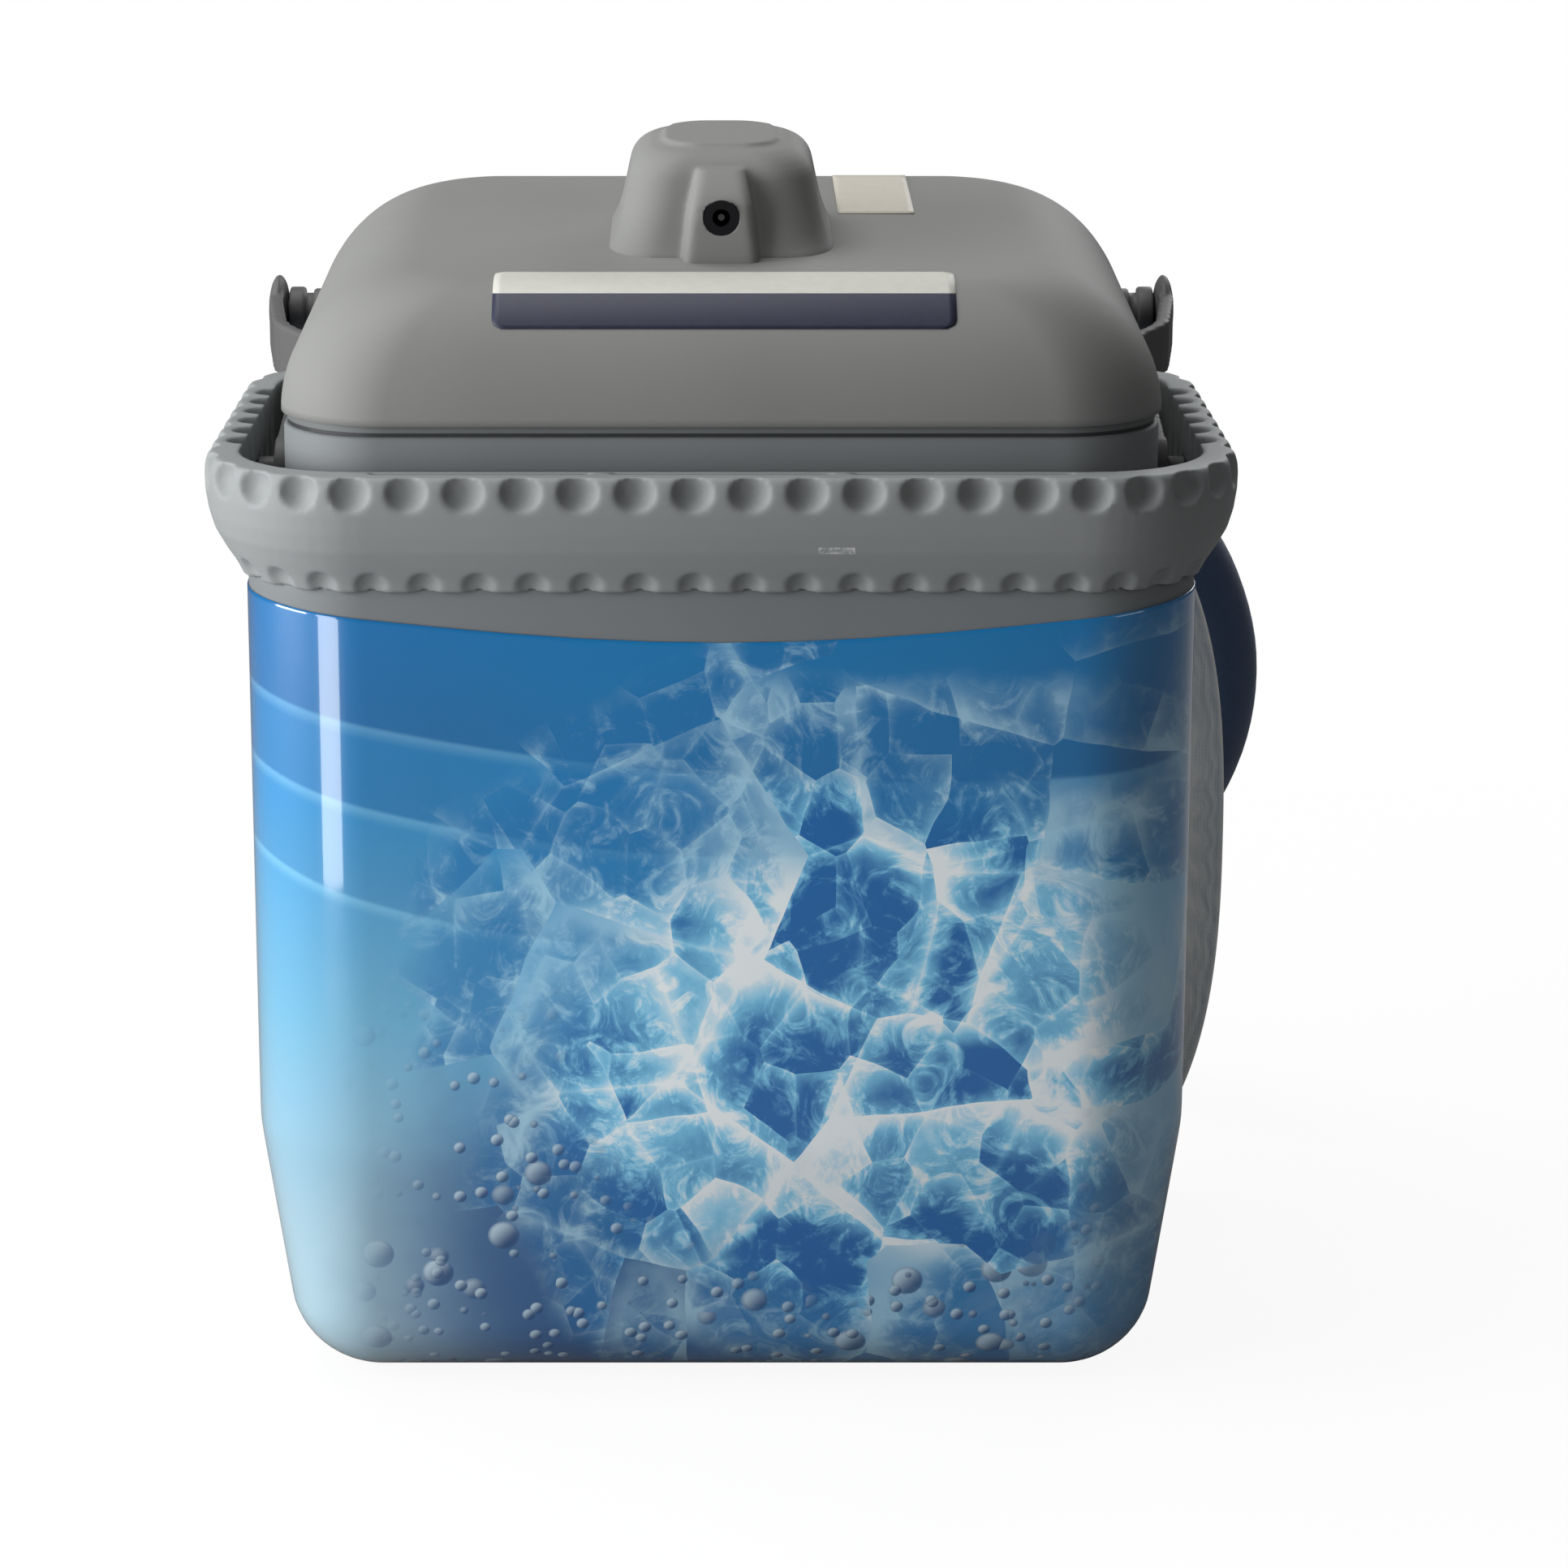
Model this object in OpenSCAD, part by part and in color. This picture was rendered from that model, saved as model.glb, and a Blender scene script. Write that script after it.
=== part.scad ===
// Portable cold therapy cooler: an insulated tub with a scalloped grip rim, a domed
// lid that carries the pump, a swing handle, an insulated hose and a cold pad.
// Millimetres, +Z up, +X to the right, -Y is the front.
// The origin is on the floor, at the centre of the cooler with its handle folded back.

/* [Tub] */
// Width of the tub's straight walls
body_w = 300; // [270:1:330]
// Depth of the tub's straight walls
body_d = 190; // [170:1:220]
// Corner radius of the tub in plan
body_corner_r = 39; // [30:1:50]
// Height of the shoulder that the grip rim sits on
shoulder_z = 272; // [240:1:300]
// Height of the crease where the base starts to taper
crease_z = 86; // [60:1:110]
// Taper of the walls below the crease, in degrees
base_taper = 8.5; // [3:0.5:12]
// Radius of the rounding round the bottom edge
base_round = 24; // [12:1:32]
// Wall of the outer shell
shell_t = 2.5; // [2:0.1:4]
// Step in from the tub's sides to the neck that the lid closes
neck_side_step = 12.5; // [10:0.5:14]
// Step in from the tub's front and back to the neck
neck_front_step = 5; // [4:0.5:6]
// Height of the neck above the shoulder
neck_h = 45.5; // [38:0.5:60]
// Wall of the inner liner
liner_t = 2.2; // [1.6:0.1:3.5]
// Thickness of the foam between shell and liner
foam_t = 9; // [6:0.5:12]
// Height of the rubber feet
foot_h = 2; // [1.5:0.1:4]
// Diameter of the rubber feet
foot_d = 24; // [14:1:34]

/* [Printed film] */
// Thickness of the printed film
film_t = 0.5; // [0.3:0.1:1]
// Gap from the film's top edge to the shoulder at the sides
film_gap_side = 7; // [4:0.5:20]
// How far the film's top edge dips at the middle of the front and back
film_dip = 11; // [2:0.5:20]

/* [Grip rim] */
// Height of the grip rim
rim_h = 38; // [32:0.5:46]
// How far the rim stands out from the tub's walls
rim_out = 13; // [10:0.5:18]
// Thickness of the rim's wall at the front and back
rim_wall_front = 11.2; // [9:0.1:13]
// Width of the moat between neck and rim at the sides
moat_side = 14.5; // [13:0.5:15.5]
// Thickness of the rim's floor
rim_floor_t = 4; // [3:0.5:6]
// Spacing of the finger scoops round the rim
scoop_pitch = 17.15; // [16.5:0.05:24]
// Radius of the scoops
scoop_r = 7.2; // [6:0.1:8]
// Drop from the rim's top to the middle of its upper scoops
scoop_drop = 4; // [3:0.25:6]
// Depth of the scoops in the rim's face
scoop_depth = 4; // [3:0.1:4.5]
// Number of flutes down the inside of each side of the rim
flute_n = 6; // [2:2:6]
// Radius of the flutes
flute_r = 6.2; // [4:0.1:7]
// Width of the slots in the rim's top at the front and back
slot_w = 2.4; // [2:0.1:3]
// Depth of those slots
slot_depth = 6; // [3:0.5:10]

/* [Lid] */
// Gap between the neck and the lid's rim
lid_gap = 1.2; // [0.8:0.1:2]
// Thickness of the lid's rim
lid_rim_t = 2.3; // [1.8:0.1:4]
// Height of the lid's top above its rim, at the middle
lid_h = 47.7; // [38:0.1:56]
// Inward sweep of the lid's front, from its foot to its top
lid_round = 30; // [20:1:36]
// Inward sweep of the lid's back
lid_round_back = 12; // [8:1:24]
// Inward sweep of the lid's sides
lid_round_side = 42; // [24:1:46]
// Fall of the lid's top toward the front, in degrees
lid_fall = 5.5; // [0:0.5:6]
// Wall of the dome
lid_t = 2.5; // [2:0.1:4]
// Depth of the plug that enters the neck
plug_h = 14; // [12:1:20]

/* [Pump housing] */
// Width of the housing at its foot
housing_w = 68; // [60:1:80]
// Depth of the housing at its foot
housing_d = 66; // [58:1:76]
// Height of the housing above the lid
housing_h = 31.2; // [28:0.1:40]
// Draft of the housing's sides, in from foot to top
housing_draft = 6; // [3:0.5:9]
// Width of the nose that holds the power jack
nose_w = 23; // [20:0.5:30]
// How far the nose stands out from the housing
nose_out = 8; // [5:0.5:12]
// Height of the nose above the lid
nose_h = 26; // [20:0.5:28]
// Height of the jack above the lid
jack_up = 14.4; // [12:0.1:16]
// Outer diameter of the jack's flange
jack_d = 11; // [9:0.1:14]
// Diameter of the jack's opening
jack_bore_d = 5.6; // [5:0.1:6.4]
// Diameter of the jack's contact pin
jack_pin_d = 2.1; // [1.3:0.1:2.5]

/* [Pump] */
// Diameter of the motor
motor_d = 35; // [28:0.5:38]
// Length of the motor
motor_h = 42; // [34:1:46]
// Diameter of the drive shaft
shaft_d = 4; // [3:0.1:6]
// Diameter of the stem that carries the pump
stem_d = 22; // [18:0.5:30]
// Wall of the stem
stem_t = 1.8; // [1.2:0.1:3]
// Outer diameter of the pump casing
volute_d = 48; // [42:1:60]
// Height of the pump casing
volute_h = 20; // [16:1:28]
// Gap from the strainer to the liner's floor
pump_floor_gap = 8; // [4:0.5:16]
// Diameter of the impeller
impeller_d = 32; // [26:1:38]
// Number of impeller blades
blade_n = 6; // [4:1:8]
// Outer diameter of the riser tube
riser_d = 11; // [8:0.5:13]

/* [Handle] */
// Height of the handle's pivots above the shoulder
pivot_up = 18; // [16:0.5:22]
// Diameter of the pivot pins
pivot_d = 8; // [6:0.5:9]
// Thickness of the arms
arm_t = 5; // [4:0.25:6]
// Width of the arms
arm_w = 18; // [14:0.5:20]
// Thickness of the arms' round ends at the grip
arm_end_t = 7.6; // [6:0.2:9]
// Radius of the arms' round ends at the grip
arm_end_r = 13; // [11:0.5:15]
// Distance back from the pivots to the folded grip
grip_back = 152; // [148:1:170]
// Height of the folded grip above the pivots
grip_up = 28; // [24:1:36]
// Diameter of the grip
grip_d = 16; // [12:0.5:17]
// How far the arms flare outward at the grip
arm_flare = 16; // [10:0.5:20]

/* [Hose] */
// Outer diameter of the hose's foam sleeve
hose_d = 28; // [22:0.5:29]
// Height of the hose outlet above the lid's rim
outlet_up = 24; // [20:0.5:28]
// Place of the outlet to the right of the middle
outlet_x = 66; // [50:1:80]
// Bend radius of the outlet elbow
elbow_bend = 29; // [24:1:32]
// Lean of the elbow's end to the right, in degrees
elbow_lean = 40; // [30:1:50]
// Length of the hose coupling
coupling_l = 54; // [46:1:70]
// Travel of the coupling's latch button
latch_travel = 2.5; // [1.5:0.25:3]

/* [Cold pad] */
// Width of the cold pad
pad_w = 136; // [110:1:160]
// Height of the cold pad
pad_h = 264; // [200:1:266]
// Thickness of the cold pad at its middle
pad_t = 10.6; // [8:0.2:11]
// Width of the pad's flat border
pad_border = 10; // [8:0.5:16]
// Height of the scallops along the border
pad_wave = 1.6; // [0.8:0.1:3]
// Number of scallops round the pad
pad_wave_n = 30; // [16:1:34]
// Place of the pad's middle to the right of the tub's middle
pad_x = 113; // [100:1:120]

/* [Hidden] */
// Clearances between pieces
seat_gap = 0.3;
thin_gap = 0.05;
pin_gap = 0.2;
slip_gap = 0.25;
join_gap = 0.02;
housing_wall = 2.6;
// Facets of a plan corner and of round pieces
corner_steps = 8;
round_fn = 64;

// Where the tub's levels are
base_z = foot_h;
neck_w = body_w - 2 * neck_side_step;
neck_d = body_d - 2 * neck_front_step;
rim_z = shoulder_z - rim_floor_t / 2;
rim_top_z = rim_z + rim_h;
neck_top_z = shoulder_z + neck_h;
lid_z = neck_top_z + lid_gap;
dome_z = lid_z + lid_rim_t;
lid_top_z = lid_z + lid_rim_t + lid_h;
neck_r = body_corner_r - 7;
neck_overhang = 1;

// Rim outlines, as half width, half depth and corner radius
rim_hw = body_w / 2 + rim_out;
rim_hd = body_d / 2 + rim_out;
rim_r = body_corner_r + rim_out;
moat_hw = neck_w / 2 + moat_side;
moat_hd = rim_hd - rim_out * 0.14 - rim_wall_front;
moat_r = min(body_corner_r, moat_hd - 10);

// Handle
pivot_z = shoulder_z + pivot_up;
grip_z = pivot_z + grip_up;
arm_x = neck_w / 2 + 4;
arm_angle = atan2(grip_up, grip_back);
arm_boss_r = arm_w / 2 + 1.5;
grip_core_d = grip_d / 2;
flare_from = rim_hd - rim_out + 1;
flare_mid = flare_from + 22;
flare_to = grip_back - arm_end_r;
end_x = arm_x + arm_flare;

// The folded handle stands out behind the tub, so the middle of both is further back
rear_shift = (grip_back + arm_end_r - rim_hd) / 2;

// Pump column, from the lid down
housing_y = -2;
lid_floor_z = lid_z - plug_h;
liner_turn_z = shoulder_z - shell_t - 8;
liner_floor_z = base_z + shell_t + foam_t + liner_t;
strainer_h = 12;
strainer_z = liner_floor_z + pump_floor_gap;
volute_z = strainer_z + strainer_h;
stem_z = volute_z + volute_h;
motor_z = lid_z + 24;
riser_x = stem_d / 2 + riser_d / 2 + 5;
bracket_w = housing_w - 4;
bracket_d = housing_d - 12;
bracket_t = 3;

// Hose
outlet_z = lid_z + lid_rim_t + outlet_up;
outlet_y = body_d / 2;
elbow_end = [outlet_x + elbow_bend * sin(elbow_lean), outlet_y + elbow_bend,
             outlet_z - elbow_bend * cos(elbow_lean)];
hose_out = [sin(elbow_lean), 0, -cos(elbow_lean)];
hose_r = hose_d / 2;
fitting_l = 14;
nipple_d = 12;
nipple_l = 17;
pad_edge = 2.8;
pad_back_y = body_d / 2 + rim_out;
coupling_y = pad_back_y + fitting_l;
coupling_end_y = coupling_y + coupling_l;
pad_y = pad_back_y - pad_t / 2 - seat_gap;
pad_bottom_z = 0.6;

// Points that the hose passes, from the elbow to the coupling, in the tub's own frame
hose_points = [
    elbow_end + join_gap * hose_out,
    [107.3, 124.3, 295.8],
    [131.4, 133.2, 269.8],
    [155.7, 145.5, 246.6],
    [175.5, 157.1, 219.3],
    [186.0, 169.8, 184.5],
    [183.9, 182.9, 148.2],
    [169.7, 195.6, 115.2],
    [146.0, 205.0, 88.8],
    [117.3, 208.2, 69.8],
    [86.2, 206.7, 50.4],
    [55.5, 204.2, 31.4],
    [23.0, 195.9, 19.9],
    [-18.7, 193.1, 15.6],
    [-57.5, 204.3, hose_r],
    [-86.4, 224.9, hose_r],
    [-108.1, 255.2, hose_r],
    [-117.9, 289.2, hose_r],
    [-116.2, 323.2, hose_r],
    [-102.7, 356.4, hose_r],
    [-78.8, 383.3, hose_r],
    [-45.3, 401.4, hose_r],
    [-2.4, 406.8, hose_r],
    [36.6, 397.1, hose_r],
    [65.8, 378.5, hose_r],
    [89.0, 351.0, hose_r],
    [105.8, 318.6, hose_r],
    [113.6, 283.0, hose_r],
    [114.2, 246.9, hose_r],
    [pad_x, 211.3, hose_r],
    [pad_x, coupling_end_y, hose_r]];

// Plan outlines ------------------------------------------------------------

// One closed ring of points round a rounded rectangle, at height z
function plan_ring(hw, hd, r, z) = [
    for (q = [0:3], k = [0:corner_steps])
        let (a = 90 * q + 90 * k / corner_steps,
             cx = (q == 0 || q == 3 ? 1 : -1) * (hw - r),
             cy = (q < 2 ? 1 : -1) * (hd - r))
        [cx + r * cos(a), cy + r * sin(a), z]];

// The same ring with its height changed along y
function flat_list(lists) = [for (l = lists, p = l) p];

function centre_of(ring) = [for (v = ring) 1] * ring / len(ring);

// A skin over rings of points, with both ends capped or joined to each other
module skin(rings, closed = false) {
    n = len(rings[0]);
    m = len(rings);
    spans = closed ? m : m - 1;
    sides = [for (i = [0:spans - 1], j = [0:n - 1])
        let (a = i * n + j, b = i * n + (j + 1) % n,
             c = ((i + 1) % m) * n + (j + 1) % n, d = ((i + 1) % m) * n + j)
        each [[a, c, b], [a, d, c]]];
    middles = closed ? [] : [centre_of(rings[0]), centre_of(rings[m - 1])];
    caps = closed ? [] : [for (j = [0:n - 1])
        let (k = (j + 1) % n, last = (m - 1) * n)
        each [[j, k, m * n], [last + k, last + j, m * n + 1]]];
    polyhedron(points = concat(flat_list(rings), middles), faces = concat(sides, caps), convexity = 6);
}

// A straight prism over a rounded rectangle, with true round corners
module plan_prism(hw, hd, r, z0, z1) {
    translate([0, 0, z0])
        linear_extrude(z1 - z0)
            plan_shape(hw, hd, r);
}

module plan_shape(hw, hd, r) {
    square([2 * hw, 2 * (hd - r)], center = true);
    square([2 * (hw - r), 2 * hd], center = true);
    for (sx = [-1, 1], sy = [-1, 1])
        translate([sx * (hw - r), sy * (hd - r)])
            circle(r, $fn = round_fn);
}

// A point and its outward angle at distance s round a rounded rectangle,
// counted from the middle of the front toward the right
function plan_at(s, hw, hd, r) =
    let (fx = hw - r, sy = hd - r, arc = PI * r / 2, quarter = fx + arc + sy,
         whole = 4 * quarter, t = s - whole * floor(s / whole),
         q = floor(t / quarter), u = q % 2 == 0 ? t - q * quarter : (q + 1) * quarter - t,
         p = u < fx ? [u, -hd, -90]
           : u < fx + arc ? let (a = -90 + (u - fx) / arc * 90) [fx + r * cos(a), -sy + r * sin(a), a]
           : [hw, -sy + (u - fx - arc), 0])
    q == 0 ? p
    : q == 1 ? [p.x, -p.y, -p.z]
    : q == 2 ? [-p.x, -p.y, 180 + p.z]
    : [-p.x, p.y, 180 - p.z];

function plan_length(hw, hd, r) = 4 * (hw - r + hd - r) + 2 * PI * r;

// Moves a piece from the tub's own frame to the frame of the whole
module place() translate([0, -rear_shift, 0]) children();

// Tub ----------------------------------------------------------------------

// How far the tub's wall is inside its full width at height z above the base
function base_inset(z) =
    tan(base_taper) * max(0, crease_z - base_z - z)
    + (z < base_round ? base_round - sqrt(base_round * base_round - pow(base_round - z, 2)) : 0);

// Heights above the base at which the wall needs a ring
wall_levels = concat([for (k = [0:7]) base_round * (1 - cos(90 * k / 7))],
                     [crease_z - base_z, shoulder_z - base_z]);

// Rings of the tub's wall, a distance t inside the outer surface, from level lo up
function wall_rings(t, lo) = [
    for (z = wall_levels)
        let (level = max(z, lo), inset = base_inset(level) + t)
        plan_ring(body_w / 2 - inset, body_d / 2 - inset,
                  max(4, body_corner_r - inset), base_z + level)];

function reversed(list) = [for (i = [len(list) - 1:-1:0]) list[i]];

// The neck's ring, a distance t inside its outer surface
function neck_ring(t, z) = plan_ring(neck_w / 2 - t, neck_d / 2 - t, neck_r - t, z);

// Rings of a wall a distance t inside the shell, from its floor at height floor_z up to the crease
function inner_rings(t, floor_z) = concat([
    for (k = [0:5])
        let (r = base_round, up = r * (1 - cos(90 * k / 5)),
             inset = base_inset(max(floor_z - base_z + up, base_round)) + t
                     + r - sqrt(r * r - pow(r - up, 2)))
        plan_ring(body_w / 2 - inset, body_d / 2 - inset,
                  max(4, body_corner_r - inset), floor_z + up)],
    [plan_ring(body_w / 2 - t, body_d / 2 - t, body_corner_r - t, crease_z)]);

liner_inset = shell_t + foam_t;
foam_outer = shell_t + thin_gap;
foam_inner = liner_inset - thin_gap;

module outer_shell() {
    color([0.50, 0.51, 0.52])
        skin(concat(
            wall_rings(0, 0),
            [neck_ring(shell_t, shoulder_z),
             neck_ring(shell_t, shoulder_z - shell_t),
             plan_ring(body_w / 2 - shell_t, body_d / 2 - shell_t, body_corner_r - shell_t,
                       shoulder_z - shell_t)],
            reversed(inner_rings(shell_t, base_z + shell_t))));
}

// Collar that stands on the tub's shoulder and carries the lid
module neck_collar() {
    color([0.47, 0.48, 0.49])
        difference() {
            plan_prism(neck_w / 2, neck_d / 2, neck_r, shoulder_z, neck_top_z);
            plan_prism(neck_w / 2 - shell_t, neck_d / 2 - shell_t, neck_r - shell_t,
                       shoulder_z - 1, neck_top_z + 1);
        }
}

// Height of the film's top edge at width x
function film_top(x) =
    shoulder_z - film_gap_side - film_dip * pow(cos(90 * min(1, abs(x) / (body_w / 2))), 1.2);

function film_edge(t) = [
    for (p = long_ring(body_w / 2 + t, body_d / 2 + t, body_corner_r + t)) [p.x, p.y, film_top(p.x)]];

// The straight front and back carry extra points, so that a curved edge can follow them
front_steps = 10;
function long_ring(hw, hd, r) = flat_list([
    for (side = [0:1])
        let (s = side == 0 ? 1 : -1, fx = hw - r, cy = hd - r)
        concat(
            [for (k = [0:corner_steps])
                let (a = 90 * k / corner_steps)
                [s * (fx + r * cos(a)), s * (cy + r * sin(a))]],
            [for (k = [1:front_steps - 1]) [s * fx * (1 - 2 * k / front_steps), s * hd]],
            [for (k = [0:corner_steps])
                let (a = 90 + 90 * k / corner_steps)
                [s * (-fx + r * cos(a)), s * (cy + r * sin(a))]])]);

function long_level(t, z) = [
    for (p = long_ring(body_w / 2 - base_inset(z) + t, body_d / 2 - base_inset(z) + t,
                       body_corner_r - base_inset(z) + t)) [p.x, p.y, base_z + z]];

film_levels = concat([for (k = [2:7]) base_round * (1 - cos(90 * k / 7))], [crease_z - base_z]);

module graphic_film() {
    outer = thin_gap + film_t;
    color([0.22, 0.58, 0.80])
        skin(concat(
            [for (z = film_levels) long_level(outer, z)],
            [film_edge(outer), film_edge(thin_gap)],
            reversed([for (z = film_levels) long_level(thin_gap, z)])), closed = true);
}

module insulation_foam() {
    top = liner_turn_z - thin_gap;
    color([0.93, 0.90, 0.78])
        skin(concat(
            inner_rings(foam_outer, base_z + foam_outer),
            [plan_ring(body_w / 2 - foam_outer, body_d / 2 - foam_outer, body_corner_r - foam_outer, top),
             plan_ring(body_w / 2 - foam_inner, body_d / 2 - foam_inner, body_corner_r - foam_inner, top)],
            reversed(inner_rings(foam_inner, base_z + foam_inner))));
}

liner_lip = neck_w / 2 - shell_t - thin_gap;
module inner_liner() {
    wall = liner_inset + liner_t;
    lip_r = neck_r - shell_t - thin_gap;
    lip_hd = neck_d / 2 - shell_t - thin_gap;
    color([0.90, 0.92, 0.93])
        skin(concat(
            inner_rings(liner_inset, base_z + liner_inset),
            [plan_ring(body_w / 2 - liner_inset, body_d / 2 - liner_inset, body_corner_r - liner_inset,
                       liner_turn_z),
             plan_ring(liner_lip, lip_hd, lip_r, shoulder_z - shell_t - 1),
             plan_ring(liner_lip, lip_hd, lip_r, neck_top_z),
             plan_ring(liner_lip - liner_t, lip_hd - liner_t, lip_r - liner_t, neck_top_z),
             plan_ring(liner_lip - liner_t, lip_hd - liner_t, lip_r - liner_t, shoulder_z - shell_t - 1),
             plan_ring(body_w / 2 - wall, body_d / 2 - wall, body_corner_r - wall, liner_turn_z)],
            reversed(inner_rings(wall, base_z + wall))));
}

// One foot near a corner of the base
module foot(sx, sy) {
    inset = base_inset(0) + foot_d / 2 + 6;
    color([0.12, 0.12, 0.13])
        translate([sx * (body_w / 2 - inset), sy * (body_d / 2 - inset), 0])
            cylinder(d1 = foot_d - 2, d2 = foot_d, h = foot_h, $fn = round_fn);
}

// Grip rim -----------------------------------------------------------------

// Half section of the rim, as distance out from the tub's wall and height above its lower edge
rim_profile = [
    for (p = [[0.18, 0], [0.35, 0.12], [0.58, 0.25], [0.79, 0.38], [0.92, 0.53],
              [0.99, 0.69], [1, 0.82], [0.98, 0.90], [0.92, 0.97], [0.84, 1]])
        [p.x * rim_out, p.y * rim_h]];

module rim_section(reach) {
    polygon(concat([[0, 0]], [for (p = rim_profile) [p.x + reach, p.y]], [[0, rim_h]]));
}

// The rim's outside, as a filled body
module rim_blank() {
    cx = rim_hw - rim_r;
    cy = rim_hd - rim_r;
    translate([0, 0, rim_z]) {
        for (q = [0:3])
            translate([(q == 0 || q == 3 ? 1 : -1) * cx, (q < 2 ? 1 : -1) * cy, 0])
                rotate([0, 0, 90 * q])
                    rotate_extrude(angle = 90, $fn = round_fn)
                        rim_section(body_corner_r);
        for (s = [0, 180])
            rotate([0, 0, s]) {
                translate([cx, cy, 0])
                    rotate([90, 0, 0])
                        linear_extrude(2 * cy)
                            rim_section(body_corner_r);
                translate([-cx, cy, 0])
                    rotate([90, 0, 90])
                        linear_extrude(2 * cx)
                            rim_section(body_corner_r);
            }
        plan_prism(cx, cy, 0.01, 0, rim_h);
    }
}

// Scoops bitten out of one edge of the rim
scoop_n = 2 * round(plan_length(rim_hw, rim_hd, rim_r) / scoop_pitch / 2);
module scoops(z, out) {
    hw = body_w / 2 + out;
    hd = body_d / 2 + out;
    r = body_corner_r + out;
    step = plan_length(hw, hd, r) / scoop_n;
    for (k = [0:scoop_n - 1]) {
        p = plan_at((k + 0.5) * step, hw, hd, r);
        translate([p.x, p.y, z])
            sphere(scoop_r, $fn = round_fn);
    }
}

// Flutes down the inside of the rim's sides, deeper toward the top
module flutes() {
    step = plan_length(rim_hw, rim_hd, rim_r) / scoop_n;
    for (s = [-1, 1], k = [0:flute_n - 1])
        translate([s * (moat_hw - 0.5), (k - (flute_n - 1) / 2) * step, rim_top_z])
            rotate([0, s * 11, 0])
                translate([0, 0, -rim_h + rim_floor_t + 5])
                    cylinder(r = flute_r, h = rim_h, $fn = round_fn);
}

// Slots along the front and back of the rim's top, with webs between them
module rim_slots() {
    y = moat_hd + 0.65 * slot_w;
    span = 2 * (rim_hw - rim_r);
    web = 8;
    length = span / 3 - web;
    for (s = [-1, 1], k = [-1:1])
        translate([k * span / 3, s * (y + slot_w / 2), rim_top_z - slot_depth]) {
            translate([-length / 2, -slot_w / 2, 0])
                cube([length, slot_w, slot_depth + 1]);
            for (e = [-1, 1])
                translate([e * length / 2, 0, 0])
                    cylinder(d = slot_w, h = slot_depth + 1, $fn = 24);
        }
}

module grip_ring() {
    notch_z = pivot_z + rim_hd / 2 * tan(arm_angle) - arm_w / 2 - 1.5;
    color([0.50, 0.51, 0.52])
        difference() {
            rim_blank();
            plan_prism(body_w / 2 + seat_gap, body_d / 2 + seat_gap, body_corner_r + seat_gap,
                       rim_z - 1, shoulder_z);
            plan_prism(neck_w / 2 + seat_gap, neck_d / 2 + seat_gap, neck_r + seat_gap,
                       shoulder_z - 1, rim_top_z + 1);
            plan_prism(moat_hw, moat_hd, moat_r, shoulder_z + rim_floor_t, rim_top_z + 1);
            scoops(rim_top_z - scoop_drop, rim_out * 0.97 + scoop_r - scoop_depth);
            scoops(rim_z + 0.1 * scoop_drop, rim_out * 0.25 + scoop_r - scoop_depth * 0.6);
            flutes();
            rim_slots();
            for (s = [-1, 1]) {
                translate([s * (arm_x + arm_t / 2) - arm_t / 2 - 1.5, 56, notch_z])
                    cube([arm_t + 3, rim_hd, rim_h]);
                translate([s * arm_x, 0, pivot_z])
                    rotate([0, s * 90, 0])
                        cylinder(d = pivot_d + pin_gap, h = moat_hw + 5.5 - arm_x, $fn = round_fn);
            }
        }
}

// Pin that the handle turns on, with its head against the neck
module pivot_pin(s) {
    head_l = arm_x - neck_w / 2 - seat_gap;
    color([0.30, 0.30, 0.31])
        translate([s * neck_w / 2, 0, pivot_z])
            rotate([0, s * 90, 0]) {
                cylinder(d = pivot_d + 6, h = head_l, $fn = round_fn);
                cylinder(d = pivot_d, h = moat_side + 5, $fn = round_fn);
            }
}

// Lid ----------------------------------------------------------------------

lid_slope = tan(lid_fall);
dome_steps = 9;

// Ring round the dome at share c of its inward sweep, a distance t inside its outer surface
function dome_ring(t, c, z, slope) =
    let (side = (lid_round_side - t) * c + t,
         front = (lid_round - t) * c + t,
         back = (lid_round_back - t) * c + t,
         shift = (front - back) / 2,
         hw = neck_w / 2 + neck_overhang - side,
         hd = neck_d / 2 + neck_overhang - (front + back) / 2)
    [for (p = plan_ring(hw, hd, max(3, neck_r + 3 - front * 0.4), 0))
        [p.x, p.y + shift, z + slope * (p.y + shift)]];

function dome_rings(t) = [
    for (k = [0:dome_steps])
        let (a = 90 * k / dome_steps)
        dome_ring(t, 1 - cos(a), dome_z + (lid_top_z - dome_z - t) * sin(a), lid_slope * sin(a))];

module lid_cover() {
    color([0.52, 0.53, 0.53])
        difference() {
            union() {
                difference() {
                    skin(dome_rings(0));
                    translate([0, 0, -thin_gap])
                        skin(concat([dome_ring(lid_t, 0, dome_z - 1, 0)], dome_rings(lid_t)));
                }
                translate([outlet_x, outlet_y - 22, outlet_z])
                    rotate([-90, 0, 0])
                        cylinder(d = hose_d + 6, h = 22, $fn = round_fn);
            }
            translate([outlet_x, outlet_y - 23, outlet_z])
                rotate([-90, 0, 0])
                    cylinder(d = hose_d - 8 + slip_gap * 2, h = 24, $fn = round_fn);
            translate([0, housing_y, lid_z + 20])
                cylinder(d = motor_d + 4, h = lid_h, $fn = round_fn);
        }
}

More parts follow.
